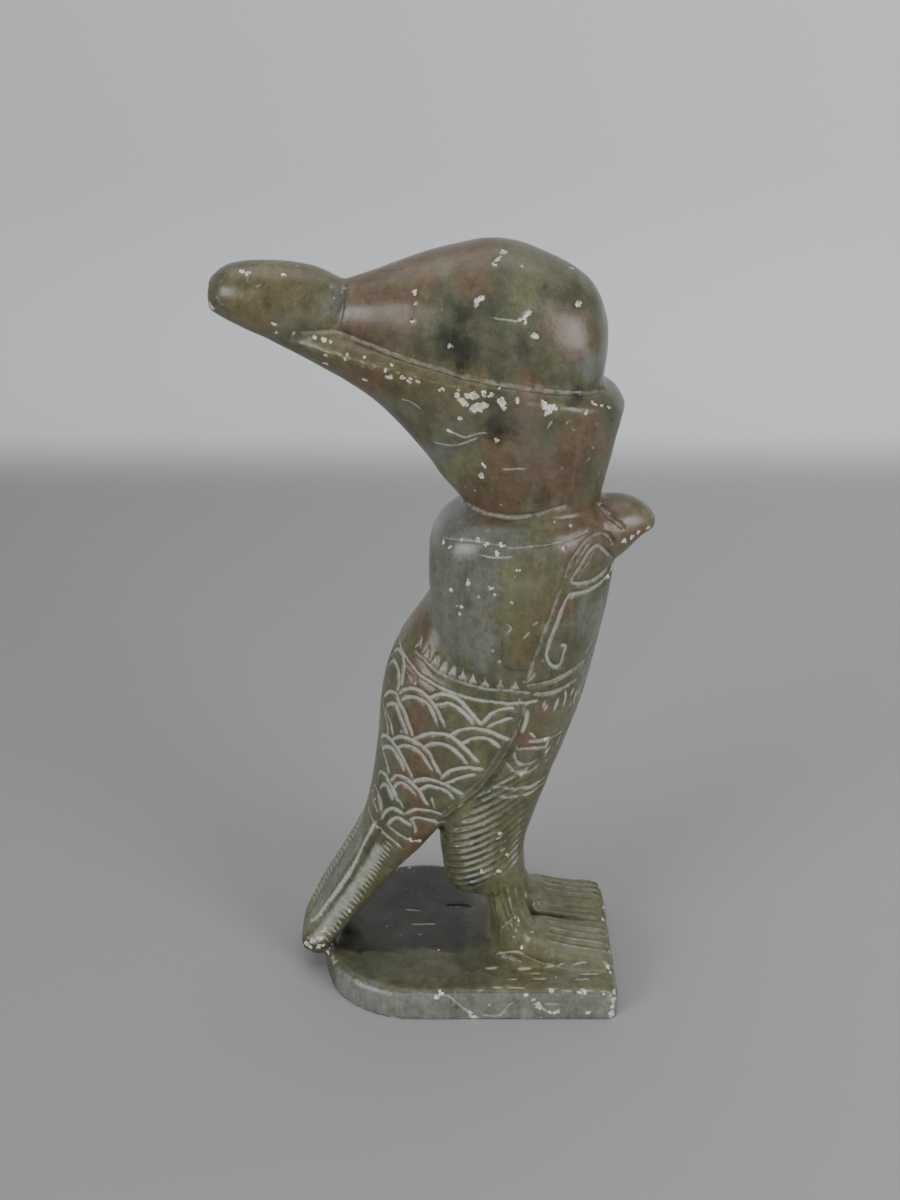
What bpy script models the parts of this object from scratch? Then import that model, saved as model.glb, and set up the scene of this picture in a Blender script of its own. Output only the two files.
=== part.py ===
"""A carved soapstone falcon wearing the double crown, on a low round-backed plinth.

Metres, +Z up. The beak points along +X, and the bird's left side is +Y. The figure is symmetric about
the X-Z plane, apart from its toes and the plinth's front left corner. The origin is the centre of the
plinth's underside. The whole work is one stone, so it is one object.
"""

import math

import bmesh
import bpy
import numpy as np
from mathutils import Vector
from mathutils.bvhtree import BVHTree

# Plinth: a slab with a square front and a full round back
PLINTH_LENGTH = 0.089
PLINTH_WIDTH = 0.066
PLINTH_THICKNESS = 0.009
PLINTH_EDGE_ROUND = 0.0016
PLINTH_FRONT_LEFT = 0.0248
PLINTH_LEFT_CORNER = 0.007
PLINTH_RIGHT_CORNER = 0.004
PLINTH_BACK_POWER = 2.4
PLINTH_LEAN = 0.002
BACK_STEPS = 18

# Figure: its height from the plinth to the top of the crown. The form is laid out on the carver's grid,
# whose square is the figure's height over GRID_SQUARES. Grid points are (forward, up) from the middle of
# the plinth's top, and half widths are across the figure.
FIGURE_HEIGHT = 0.212
GRID_SQUARES = 212
GRID = FIGURE_HEIGHT / GRID_SQUARES
FOOT_SPREAD = 10.5
THIGH_SPREAD = 8.2
BODY_AXIS = 2
TAIL_TOP = 58.5
TAIL_OVERHANG = 7.4

# Carved lines, on the same grid. Angles are in degrees around the body from the front. A scale is
# (back shoulder, front end, top, drop of its shoulders).
GROOVE_DEPTH = 0.001
GROOVE_LIFT = 0.0002
HEM_UP = 91
HEM_RISE = 11
HEM_STEP = 15
SCALE_SHOULDER = 125
SCALES = [
    (171, 150, 99.4, 6),
    (170, 137, 88.8, 9),
    (149, 115, 94, 9),
    (126, 88, 93.8, 8.5),
    (86, 63, 90, 4.5),
    (168, 135, 75, 8),
    (149, 114, 78.4, 9.5),
    (132, 87, 82, 9),
    (110, 69, 84, 4),
    (169, 142, 62.8, 5),
    (149, 123, 66.2, 9),
    (132, 104, 67.4, 10),
    (115, 85, 71.4, 2.5),
    (152, 138, 55.2, 4),
    (137, 117, 56.4, 3),
]
WING_EDGE = [(-28, 20), (-18.8, 32.6), (-11.2, 45.4), (-5.5, 52.2), (2.4, 61.3), (12, 76.7), (16.3, 92)]
FLUTES = 7
FLUTE_LOWEST = 26
FLUTE_PITCH = 4.3
FLUTE_BACK = -5.5
FLUTE_FRONT = 13
FLUTE_RISE = 4
FLUTE_SWEEP = 8
WING_CLEARANCE = 2
CHEEK_LINE = [(38, 124.4), (33, 122.8), (26.4, 123), (22.6, 112.6), (20.8, 104.6), (22.4, 101.2), (24.8, 103)]
EYE = [(27, 126.6), (30.9, 133), (34.4, 134.8), (36.4, 131), (35.8, 127.4), (33, 125), (27.4, 126.2)]
BROW = [(26.4, 130.6), (29.4, 136.2), (33.6, 137.9), (36.6, 136.4)]
RIGHT_TOES = (8.6, 13.8, 17.4)
LEFT_TOES = (6.2, 10.6, 15)
TOE_ROOT = 25
TOE_TIP = 41
TOE_FAN = 0.06
ABOVE_FEET = 18
STONE_COLOUR = (0.135, 0.125, 0.078, 1.0)
STONE_ROUGHNESS = 0.42


def on_grid(forward, up, across=0.0):
    """The place of a grid point."""
    return Vector((forward * GRID, across * GRID, PLINTH_THICKNESS + up * GRID))


def clear_scene():
    for thing in list(bpy.data.objects):
        bpy.data.objects.remove(thing)


def object_from(bm, name, collection):
    mesh = bpy.data.meshes.new(name)
    bm.to_mesh(mesh)
    bm.free()
    made = bpy.data.objects.new(name, mesh)
    collection.objects.link(made)
    return made


def smooth_between(rows, steps):
    """Rows of numbers, with steps - 1 more between each two, on a smooth curve through them all."""
    rows = np.array(rows, float)
    padded = np.vstack([2 * rows[0] - rows[1], rows, 2 * rows[-1] - rows[-2]])
    smooth = []
    for i in range(len(rows) - 1):
        p0, p1, p2, p3 = padded[i : i + 4]
        for t in np.arange(steps) / steps:
            smooth.append(
                0.5 * (2 * p1 + (p2 - p0) * t + (2 * p0 - 5 * p1 + 4 * p2 - p3) * t**2)
                + 0.5 * (3 * p1 - p0 - 3 * p2 + p3) * t**3
            )
    smooth.append(rows[-1])
    return smooth


def oval(section, side, points):
    """One closed section of a form: an oval in the plane across the figure through its back and front points.

    section is (back forward, back up, front forward, front up, half width, widest, back power, front power).
    widest is the share of the way from back to front where the oval is widest. A power of 2 is an ellipse,
    more is squarer and less is more pointed.
    """
    back_x, back_z, front_x, front_z, half, widest, back_power, front_power = section
    ring = []
    for i in range(points):
        turn = 2 * math.pi * (i + 0.5) / points
        along, across = math.cos(turn), math.sin(turn)
        power = front_power if along > 0 else back_power
        reach = (1 - widest) if along > 0 else widest
        along = math.copysign(abs(along) ** (2 / power), along)
        across = math.copysign(abs(across) ** (2 / power), across)
        share = widest + along * reach
        ring.append(
            on_grid(
                back_x + (front_x - back_x) * share,
                back_z + (front_z - back_z) * share,
                side + across * half,
            )
        )
    return ring


def loft(name, collection, sections, points, side=0.0):
    """A closed form through ovals, with a pole at each end."""
    bm = bmesh.new()
    rings = []
    for section in sections:
        rings.append([bm.verts.new(p) for p in oval(section, side, points)])
    for low, high in zip(rings, rings[1:]):
        for i in range(points):
            j = (i + 1) % points
            bm.faces.new((low[i], low[j], high[j], high[i]))
    for ring in (rings[0], rings[-1]):
        pole = bm.verts.new(sum((v.co for v in ring), Vector()) / points)
        for i in range(points):
            bm.faces.new((ring[i], ring[(i + 1) % points], pole))
    bmesh.ops.recalc_face_normals(bm, faces=bm.faces)
    return object_from(bm, name, collection)


def sections_of(rows, widest=0.5, back_power=2.0, front_power=2.0):
    """Rows of (back forward, back up, front forward, front up, half width), with one shape for all."""
    return [(*row, widest, back_power, front_power) for row in rows]


def corner_round(forward, across, radius, start, steps):
    """A quarter turn of an outline around a corner's centre, from a start angle in degrees."""
    points = []
    for i in range(steps + 1):
        turn = math.radians(start + 90 * i / steps)
        points.append((forward + radius * math.cos(turn), across + radius * math.sin(turn)))
    return points


def rounded(turn, power):
    """A point of a unit oval. A power of 2 is a circle, and more is squarer."""
    along, across = math.cos(turn), math.sin(turn)
    return (
        math.copysign(abs(along) ** (2 / power), along),
        math.copysign(abs(across) ** (2 / power), across),
    )


def plinth_outline():
    """A full round back, squarer than a half circle, and a square front whose left side draws in."""
    half = PLINTH_WIDTH / 2
    front = PLINTH_LENGTH / 2
    outline = []
    for i in range(BACK_STEPS + 1):
        turn = math.pi * (0.5 + i / BACK_STEPS)
        along, across = rounded(turn, PLINTH_BACK_POWER)
        outline.append((half - front + half * along, half * across))
    right, left = PLINTH_RIGHT_CORNER, PLINTH_LEFT_CORNER
    outline += corner_round(front - right, right - half, right, -90, 3)
    outline += corner_round(front - left, PLINTH_FRONT_LEFT - left, left, 0, 4)
    return outline


def plinth(collection):
    """The outline, extruded to the plinth's thickness, its right wall leaning in, its top edge rounded."""
    curve = bpy.data.curves.new("plinth_outline", "CURVE")
    curve.dimensions = "2D"
    curve.fill_mode = "BOTH"
    curve.extrude = PLINTH_THICKNESS / 2
    outline = plinth_outline()
    spline = curve.splines.new("POLY")
    spline.points.add(len(outline) - 1)
    for point, place in zip(spline.points, outline):
        point.co = (*place, 0, 1)
    spline.use_cyclic_u = True
    slab = bpy.data.objects.new("plinth_curve", curve)
    collection.objects.link(slab)
    evaluated = slab.evaluated_get(bpy.context.evaluated_depsgraph_get())
    mesh = bpy.data.meshes.new_from_object(evaluated)
    bpy.data.objects.remove(slab)
    bm = bmesh.new()
    bm.from_mesh(mesh)
    bmesh.ops.remove_doubles(bm, verts=bm.verts, dist=1e-6)
    bmesh.ops.translate(bm, verts=bm.verts, vec=(0, 0, PLINTH_THICKNESS / 2))
    bmesh.ops.dissolve_limit(bm, angle_limit=0.01, verts=bm.verts, edges=bm.edges)
    for vertex in bm.verts:
        if vertex.co.z > PLINTH_THICKNESS * 0.99 and vertex.co.y < 0:
            vertex.co.y *= 1 - 2 * PLINTH_LEAN / PLINTH_WIDTH
    top = [e for e in bm.edges if all(v.co.z > PLINTH_THICKNESS * 0.99 for v in e.verts)]
    bmesh.ops.bevel(
        bm, geom=top, offset=PLINTH_EDGE_ROUND, segments=2, profile=0.5, affect="EDGES"
    )
    bmesh.ops.recalc_face_normals(bm, faces=bm.faces)
    return object_from(bm, "plinth", collection)


def foot(collection, side):
    """The instep and toes, widening towards the plinth's front edge."""
    rows = [
        (12, -3, 10.5, 5, 5),
        (15, -3, 14, 7.6, 7),
        (21, -3, 21, 8, 9),
        (30, -3, 30.5, 5.6, 9.8),
        (39.5, -3, 40, 4.2, 10.3),
        (43, -3, 43, 2.8, 10),
    ]
    return loft("foot", collection, smooth_between(sections_of(rows, 0.5, 2.6, 2.6), 2), 11, side)


def shank(collection, side):
    """The bare lower leg, from under the thigh's feathers down into the foot."""
    rows = [
        (4.4, 29, 17, 29, 5.6),
        (5.4, 20, 17, 20, 5.6),
        (7.4, 12, 19, 12, 6.2),
        (8.6, 6, 22.4, 6, 7.4),
        (8.6, -1, 27, -1, 9),
        (8.6, -4, 26, -4, 8.8),
    ]
    return loft("shank", collection, smooth_between(sections_of(rows), 2), 12, side)


def web(collection):
    """The stone left between the two lower legs, set back from their fronts."""
    rows = [
        (7, -2.5, 15.5, -2.5, 8),
        (7.6, 10, 13.4, 10, 7.5),
        (6.5, 20, 12.4, 20, 7.5),
        (2, 34, 13, 34, 7.5),
    ]
    return loft("web", collection, sections_of(rows, 0.5, 4, 4), 8)


def thigh(collection, side):
    """The feathered thigh: a full form that ends in a blunt hem above the bare leg."""
    rows = [
        (-4.5, 24.4, 14.5, 22.6, 6.5),
        (-6.6, 25.6, 16.4, 24, 9),
        (-7.6, 32, 16.8, 31, 10.4),
        (-8.4, 41, 16.8, 40, 11),
        (-8, 52, 19.6, 51, 11.2),
        (-6, 66, 23.8, 64, 10.6),
        (-4, 80, 26.8, 78, 8),
    ]
    return loft("thigh", collection, smooth_between(sections_of(rows, 0.5, 2.4, 2.2), 2), 16, side)


def breast(collection):
    """The belly and breast between the folded wings, up into the head cloth."""
    rows = [
        (3, 40, 14, 40, 7),
        (1, 48, 17.4, 48, 12.6),
        (-1, 56, 21.2, 56, 16.8),
        (-2, 64, 25.4, 64, 18.8),
        (-2, 75, 29.2, 75, 19.8),
        (-4, 87, 32.8, 87, 20.1),
        (-8, 98, 35.2, 98, 20.1),
        (-10.2, 108, 37.2, 108, 20.1),
        (-11.2, 117, 38.7, 117, 20.1),
        (-11.4, 126, 39.4, 126, 20),
        (-10.5, 132.5, 39.2, 132.5, 19.6),
        (-8.2, 137.2, 38.2, 137.4, 18.4),
        (-3.8, 140.8, 36.2, 141.2, 15.4),
        (1, 143, 32, 143.2, 10),
    ]
    return loft("breast", collection, smooth_between(sections_of(rows, 0.5, 3, 2.1), 2), 24)


def reaching_back(rows):
    """The rows, with those of the tail moved so that its tip overhangs the plinth's rounded end."""
    tip = -PLINTH_LENGTH / 2 / GRID - TAIL_OVERHANG
    moved = []
    for back_x, back_z, front_x, front_z, *shape in rows:
        share = max(0, TAIL_TOP - back_z) / (TAIL_TOP - rows[-1][1])
        shift = (tip - rows[-1][0]) * share
        moved.append((back_x + shift, back_z, front_x + shift, front_z, *shape))
    return moved


def mantle(collection):
    """The back, the folded wings and the tail in one sweep, down to the plinth's rounded end."""
    rows = [
        (-8, 120, 4, 119, 8, 0.5, 2, 2),
        (-13.6, 111.5, 7, 110, 13, 0.5, 2, 2),
        (-19.4, 102.5, 12, 101, 15.6, 0.52, 2.2, 3),
        (-23, 93.5, 16.8, 94.2, 20.4, 0.55, 2.1, 5),
        (-25.4, 83, 16, 86, 21.7, 0.57, 2, 6.5),
        (-26.6, 70, 12, 74.5, 21.7, 0.58, 2.1, 6.5),
        (-28, 58.5, 4.6, 63, 20.6, 0.58, 2.3, 6.5),
        (-30, 47.5, -4, 52, 18, 0.56, 2.8, 6),
        (-32.8, 36.5, -13.4, 38.6, 15, 0.52, 3.6, 5),
        (-38.8, 25.6, -22.6, 26.6, 12.6, 0.5, 4.6, 4.8),
        (-49.6, 5, -41, 0.5, 11, 0.5, 5, 5),
        (-51.9, -0.2, -45.4, -4.6, 10.2, 0.5, 4, 4),
    ]
    return loft("mantle", collection, smooth_between(reaching_back(rows), 2), 26)


def beak(collection):
    """A short blunt beak at the level of the crown's foot, hooked down at its tip."""
    rows = [
        (28, 124, 30, 143, 11),
        (36, 124.2, 37.6, 144, 9.6),
        (41.4, 127.6, 43.8, 143.4, 7.2),
        (46.2, 132.6, 48.6, 140.4, 5),
        (49, 134.4, 50.6, 137.4, 2.8),
    ]
    return loft("beak", collection, smooth_between(sections_of(rows, 0.45, 2, 2.2), 2), 16)


def crown_bowl(collection):
    """The red crown: a flaring bowl whose back sweeps up and rearward, with a chamfered lip."""
    wall = [
        (-1.4, 139, 34, 139, 13.6, 0.5, 2.2, 2.2),
        (-1.8, 143, 34.8, 143, 13.6, 0.5, 2.2, 2.2),
        (-7.6, 150, 36, 149.6, 15, 0.52, 2.1, 2.2),
        (-14.2, 159, 37.4, 156.5, 17, 0.56, 1.9, 2.3),
        (-25, 170.5, 38.8, 163, 19, 0.6, 1.7, 2.3),
        (-40, 180, 39.8, 168, 20.4, 0.64, 1.5, 2.3),
        (-58, 189.6, 40.3, 170.6, 21, 0.68, 1.35, 2.3),
    ]
    lip = [
        (-57, 192, 38, 174, 18.4, 0.68, 1.35, 2.3),
        (-45, 193, 26, 181, 8, 0.6, 1.6, 2.3),
    ]
    return loft("crown_bowl", collection, smooth_between(wall, 2) + lip, 26)


def crown_bulb(collection):
    """The white crown's swelling body, lying back in the bowl, fullest towards the front."""
    rows = [
        (34.8, 181.5, 35.1, 188.3, 2.6),
        (33.4, 174.5, 34.1, 193.4, 7.5),
        (29, 166.6, 30.6, 200.8, 13.4),
        (19.8, 162.8, 21.8, 207, 16.9),
        (4.6, 163.6, 6.6, 211.8, 17.9),
        (-10.6, 170.4, -8.6, 209.4, 15.6),
        (-24.6, 179.4, -23, 204.6, 11.4),
        (-34, 184, -33, 201.4, 8.2),
    ]
    return loft("crown_bulb", collection, smooth_between(sections_of(rows), 2), 22)


def crown_knob(collection):
    """The white crown's olive-shaped end, out over the bird's back."""
    rows = [
        (-30, 184.5, -29.2, 200.4, 6.8),
        (-34, 184, -33, 202, 7.6),
        (-40, 183.6, -38.8, 204.8, 8.8),
        (-47.4, 185.2, -45.8, 206.2, 9.2),
        (-55.6, 188.4, -53.8, 206.4, 8.6),
        (-62.6, 191.8, -61.4, 205.4, 7),
        (-66.6, 194, -66.2, 202, 4),
    ]
    return loft("crown_knob", collection, smooth_between(sections_of(rows), 2), 16)


def join_to(statue, forms):
    """Unites the forms with the statue in one step, so it stays one closed solid."""
    join = statue.modifiers.new("forms", "BOOLEAN")
    join.operation = "UNION"
    join.solver = "EXACT"
    join.operand_type = "COLLECTION"
    join.collection = forms
    for form in forms.objects:
        form.hide_render = True
        form.display_type = "WIRE"


def first_surface(tree, start, towards):
    """The place just off the surface where a line first meets it."""
    place, normal, index, distance = tree.ray_cast(start, towards)
    return place + normal * GROOVE_LIFT


def side_line(tree, points, side):
    """A line on the figure's side, from (forward, up) points. side is -1 or 1."""
    far = 3 * PLINTH_WIDTH * side / GRID
    return [first_surface(tree, on_grid(x, z, far), Vector((0, -side, 0))) for x, z in points]


def turned_line(tree, points):
    """A line around the body, from (degrees from the front, up) points."""
    line = []
    for degrees, up in points:
        turn = math.radians(degrees)
        outward = Vector((math.cos(turn), math.sin(turn), 0))
        start = on_grid(BODY_AXIS, up) + outward * FIGURE_HEIGHT
        line.append(first_surface(tree, start, -outward))
    return line


def scale_arch(start, end, top, drop, steps):
    """A scale's upper edge from its back shoulder to its front end, as (degrees, up) points."""
    shoulder = math.radians(SCALE_SHOULDER)
    reach = (start - end) / (1 - math.cos(shoulder))
    points = []
    for i in range(steps + 1):
        turn = shoulder * (1 - i / steps)
        points.append((end + reach * (1 - math.cos(turn)), top - drop * (1 - math.sin(turn))))
    return points


def ridge_forward(up):
    """How far forward the wing's front edge stands at a height."""
    heights = [row[1] for row in WING_EDGE]
    return float(np.interp(up, heights, [row[0] for row in WING_EDGE]))


def scale_lines(tree):
    """The wings' scales, each side the mirror of the other."""
    lines = []
    for start, end, top, drop in SCALES:
        points = scale_arch(start, end, top, drop, 4)
        lines.append(turned_line(tree, points))
        lines.append(turned_line(tree, [(-degrees, up) for degrees, up in points]))
    return lines


def flute_lines(tree, side):
    """The thigh's long feathers: grooves that sweep up towards the front."""
    lines = []
    for k in range(FLUTES):
        low = FLUTE_LOWEST + k * FLUTE_PITCH
        back = max(FLUTE_BACK, ridge_forward(low) + WING_CLEARANCE)
        length = FLUTE_FRONT - back
        points = []
        for share in (0, 0.35, 0.7, 1):
            rise = (FLUTE_RISE * share + FLUTE_SWEEP * share**2) * length / (FLUTE_FRONT - FLUTE_BACK)
            points.append((back + length * share, low + rise))
        lines.append(side_line(tree, points, side))
    return lines


def toe_lines(tree, side):
    """The grooves between the toes, fanning out a little towards the plinth's front."""
    lines = []
    for across in LEFT_TOES if side > 0 else RIGHT_TOES:
        line = []
        for share in (0, 0.25, 0.5, 0.75, 1):
            forward = TOE_ROOT + (TOE_TIP - TOE_ROOT) * share
            above = on_grid(forward, ABOVE_FEET, side * across * (1 - TOE_FAN * (1 - share)))
            line.append(first_surface(tree, above, Vector((0, 0, -1))))
        lines.append(line)
    return lines


def hem_line(tree):
    """The hem of the head cloth, all the way round and higher at the back."""
    points = []
    for degrees in range(0, 360, HEM_STEP):
        rise = HEM_RISE * math.sin(math.radians(degrees) / 2) ** 6
        points.append((degrees, HEM_UP + rise))
    return turned_line(tree, points)


def carved_lines(tree):
    lines = scale_lines(tree)
    for side in (-1, 1):
        lines += flute_lines(tree, side) + toe_lines(tree, side)
        lines.append(side_line(tree, CHEEK_LINE, side))
        lines.append(side_line(tree, EYE, side))
        lines.append(side_line(tree, BROW, side))
    return lines


def draw_line(curve, line, closed):
    spline = curve.splines.new("POLY")
    spline.points.add(len(line) - 1)
    for point, place in zip(spline.points, line):
        point.co = (*place, 1)
    spline.use_cyclic_u = closed


def cut_lines(statue, collection, graph):
    """Cuts a groove along each carved line."""
    tree = BVHTree.FromObject(statue, graph)
    curve = bpy.data.curves.new("carved_lines", "CURVE")
    curve.dimensions = "3D"
    curve.bevel_depth = GROOVE_DEPTH
    curve.bevel_resolution = 0
    curve.use_fill_caps = True
    for line in carved_lines(tree):
        draw_line(curve, line, closed=False)
    draw_line(curve, hem_line(tree), closed=True)
    guide = bpy.data.objects.new("carved_lines_guide", curve)
    collection.objects.link(guide)
    mesh = bpy.data.meshes.new_from_object(guide.evaluated_get(bpy.context.evaluated_depsgraph_get()))
    bpy.data.objects.remove(guide)
    bm = bmesh.new()
    bm.from_mesh(mesh)
    bmesh.ops.remove_doubles(bm, verts=bm.verts, dist=1e-6)
    cutter = object_from(bm, "carved_lines", collection)
    cutter.hide_render = True
    cutter.display_type = "WIRE"
    cut = statue.modifiers.new("carved_lines", "BOOLEAN")
    cut.operation = "DIFFERENCE"
    cut.solver = "EXACT"
    cut.use_self = True
    cut.object = cutter


def stone():
    material = bpy.data.materials.new("soapstone")
    material.use_nodes = True
    shader = material.node_tree.nodes["Principled BSDF"]
    shader.inputs["Base Color"].default_value = STONE_COLOUR
    shader.inputs["Roughness"].default_value = STONE_ROUGHNESS
    return material


def add_forms(collection):
    web(collection)
    for side in (-1, 1):
        foot(collection, side * FOOT_SPREAD)
        shank(collection, side * FOOT_SPREAD)
        thigh(collection, side * THIGH_SPREAD)
    breast(collection)
    mantle(collection)
    beak(collection)
    crown_bowl(collection)
    crown_bulb(collection)
    crown_knob(collection)


def new_collection(name):
    made = bpy.data.collections.new(name)
    bpy.context.scene.collection.children.link(made)
    return made


def falcon_statue():
    statue = plinth(new_collection("falcon statue"))
    statue.name = "falcon_statue"
    forms = new_collection("forms")
    add_forms(forms)
    join_to(statue, forms)
    cut_lines(statue, new_collection("cutters"), bpy.context.evaluated_depsgraph_get())
    statue.data.materials.append(stone())
    return statue


clear_scene()
falcon_statue()
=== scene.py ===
# %% [markdown]
# # A falcon carved from one piece of soapstone
# The real object is a small standing falcon with a tall double crown, cut from a single block of
# mottled green and brown soapstone. It has no joints and no separate pieces.
# The plain solid is loaded first as the fixed frame. One finished piece then takes its place: the same
# form with a smooth skin, the carver's fine lines cut into it, and a stone finish made of nodes.

# %% Load the solid
import math
import random

import bpy
import numpy as np
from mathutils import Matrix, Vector, noise
from mathutils.bvhtree import BVHTree
from mathutils.kdtree import KDTree


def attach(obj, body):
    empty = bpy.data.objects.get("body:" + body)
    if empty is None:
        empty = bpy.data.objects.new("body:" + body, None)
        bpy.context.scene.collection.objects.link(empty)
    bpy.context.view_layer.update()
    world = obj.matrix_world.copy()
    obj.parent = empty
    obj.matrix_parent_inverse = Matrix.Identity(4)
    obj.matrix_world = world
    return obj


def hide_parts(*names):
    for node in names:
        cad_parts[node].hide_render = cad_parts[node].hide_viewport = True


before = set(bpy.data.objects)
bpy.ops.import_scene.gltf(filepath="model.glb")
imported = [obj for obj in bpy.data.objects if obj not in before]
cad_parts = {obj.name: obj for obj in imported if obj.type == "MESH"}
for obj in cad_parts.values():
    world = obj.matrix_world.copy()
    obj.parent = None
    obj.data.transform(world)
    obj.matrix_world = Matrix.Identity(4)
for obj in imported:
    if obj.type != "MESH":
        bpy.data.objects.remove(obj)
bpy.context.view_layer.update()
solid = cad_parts["falcon_statue"]
print("solid:", len(solid.data.polygons), "triangles")

# %% [markdown]
# ## The camera
# The statue was seen from its right side, a little from above. The camera is set first, because the
# strokes and the light are judged through it.

# %% Camera
CAMERA_PLACE = (-0.0055, -0.3417, 0.2810)
CAMERA_TILT = math.radians(65)
CAMERA_LENS = 40.5


def in_scene(name, data):
    """A new object made of some data, linked to the scene."""
    made = bpy.data.objects.new(name, data)
    bpy.context.scene.collection.objects.link(made)
    return made


camera = in_scene("camera", bpy.data.cameras.new("camera"))
camera.location = CAMERA_PLACE
camera.rotation_euler = (CAMERA_TILT, 0, 0)
camera.data.lens = CAMERA_LENS
camera.data.sensor_width = 36
camera.data.clip_start = 0.01
bpy.context.scene.camera = camera

# %% [markdown]
# ## Floor and light
# A pale sheet lies under the statue and curves up behind it, as on a photographer's table. One curved
# sheet has no visible corner, which two planes would have. It is painted paler where it rises and lighter
# towards the camera's right, which is painted light. The light is soft: two wide panels from the camera's
# sides, a weak one from above and a pale surround.


# %% Helpers for whole objects
def choose(thing):
    """Selects one object alone, and makes it the active one."""
    bpy.ops.object.select_all(action="DESELECT")
    thing.select_set(True)
    bpy.context.view_layer.objects.active = thing


def apply_modifiers(thing):
    """Applies all of an object's modifiers in order."""
    choose(thing)
    for modifier in list(thing.modifiers):
        bpy.ops.object.modifier_apply(modifier=modifier.name)


def face_outwards(thing):
    """Turns all of an object's faces outwards."""
    choose(thing)
    bpy.ops.object.mode_set(mode="EDIT")
    bpy.ops.mesh.select_all(action="SELECT")
    bpy.ops.mesh.normals_make_consistent(inside=False)
    bpy.ops.object.mode_set(mode="OBJECT")


# %% Floor sheet
BEND_START = 0.40
BEND_RADIUS = 0.16
BEND_STEPS = 12
SHEET_HALF = 2.5
SHEET_RISE = 2
bpy.ops.object.select_all(action="DESELECT")
bpy.ops.mesh.primitive_plane_add(size=2)
floor = bpy.context.object
floor.name = "floor"
for vertex in floor.data.vertices:
    vertex.co = (vertex.co.x * SHEET_HALF, BEND_START if vertex.co.y > 0 else -SHEET_HALF, 0)
for edge in floor.data.edges:
    edge.select = all(floor.data.vertices[i].co.y > 0 for i in edge.vertices)
for vertex in floor.data.vertices:
    vertex.select = vertex.co.y > 0
for face in floor.data.polygons:
    face.select = False
bpy.ops.object.mode_set(mode="EDIT")
reach = BEND_RADIUS * math.pi / 2 / BEND_STEPS
for step in range(BEND_STEPS):
    turn = math.radians(90 * (step + 0.5) / BEND_STEPS)
    move = (0, reach * math.cos(turn), reach * math.sin(turn))
    bpy.ops.mesh.extrude_region_move(TRANSFORM_OT_translate={"value": move})
bpy.ops.mesh.extrude_region_move(TRANSFORM_OT_translate={"value": (0, 0, SHEET_RISE)})
bpy.ops.object.mode_set(mode="OBJECT")
face_outwards(floor)
bpy.ops.object.shade_smooth()

# %% Floor finish, with painted light
# The colour sockets of a Mix node have the same names as its others, so they are known by number.
MIX_FIRST, MIX_SECOND, MIX_RESULT = 6, 7, 2
paper = bpy.data.materials.new("paper")
paper.use_nodes = True
paper_nodes = paper.node_tree.nodes
paper_links = paper.node_tree.links
paper_shader = paper_nodes["Principled BSDF"]
paper_place = paper_nodes.new("ShaderNodeSeparateXYZ")
paper_links.new(paper_nodes.new("ShaderNodeTexCoord").outputs["Object"], paper_place.inputs["Vector"])


def painted_light_tone(axis, low, high, low_colour, high_colour):
    """A painted light tone that goes softly from one colour to another along one axis."""
    ramp = paper_nodes.new("ShaderNodeMapRange")
    ramp.interpolation_type = "SMOOTHSTEP"
    ramp.inputs["From Min"].default_value = low
    ramp.inputs["From Max"].default_value = high
    tone = paper_nodes.new("ShaderNodeMix")
    tone.data_type = "RGBA"
    tone.inputs[MIX_FIRST].default_value = low_colour
    tone.inputs[MIX_SECOND].default_value = high_colour
    paper_links.new(paper_place.outputs[axis], ramp.inputs["Value"])
    paper_links.new(ramp.outputs["Result"], tone.inputs["Factor"])
    return tone


# Painted light: the floor is darker on the camera's left and lighter on its right, and the rise is paler and
# also lighter to the right.
floor_painted_light = painted_light_tone("X", -0.35, 0.35, (0.275, 0.27, 0.265, 1), (0.365, 0.365, 0.365, 1))
rise_painted_light = painted_light_tone("X", -0.45, 0.45, (0.56, 0.562, 0.584, 1), (0.72, 0.726, 0.75, 1))
sheet_painted_light = painted_light_tone("Z", 0.0, 0.019, (0, 0, 0, 1), (1, 1, 1, 1))
paper_links.new(floor_painted_light.outputs[MIX_RESULT], sheet_painted_light.inputs[MIX_FIRST])
paper_links.new(rise_painted_light.outputs[MIX_RESULT], sheet_painted_light.inputs[MIX_SECOND])
paper_links.new(sheet_painted_light.outputs[MIX_RESULT], paper_shader.inputs["Base Color"])
paper_shader.inputs["Roughness"].default_value = 0.75
floor.data.materials.append(paper)


# %% Light
STATUE_MIDDLE = Vector((0, 0, 0.11))


def soft_panel(name, place, width, height, power):
    """A wide soft light at a place, turned towards the statue's middle."""
    lamp = bpy.data.lights.new(name, "AREA")
    lamp.shape = "RECTANGLE"
    lamp.size = width
    lamp.size_y = height
    lamp.energy = power
    made = in_scene(name, lamp)
    made.location = place
    made.rotation_euler = (STATUE_MIDDLE - Vector(place)).to_track_quat("-Z", "Y").to_euler()


soft_panel("panel_left", (-0.85, -0.72, 0.46), 0.5, 0.5, 7)
soft_panel("panel_right", (0.80, -0.72, 0.42), 0.5, 0.6, 7.5)
soft_panel("panel_above", (0.0, 0.05, 1.2), 1.3, 0.8, 5)
world = bpy.data.worlds.new("surround")
bpy.context.scene.world = world
world.use_nodes = True
background = world.node_tree.nodes["Background"]
background.inputs["Color"].default_value = (0.80, 0.82, 0.86, 1)
background.inputs["Strength"].default_value = 0.42

# %% [markdown]
# ## The stone's form
# The block was cut to the solid's shape and rubbed smooth. The solid's facets would show as flats, so
# each form is made again from the same ovals with many more points, and then all are joined in one
# skin by a voxel remesh. Smoothing a copy of the solid would be quicker, but it melts the crown's lip
# and the plinth's edges. Each row of numbers is one oval, in millimetres on the carver's grid: back
# forward, back up, front forward, front up and half width. Then come the share of the way from back to
# front where the oval is widest, and how square its back and its front are.

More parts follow.
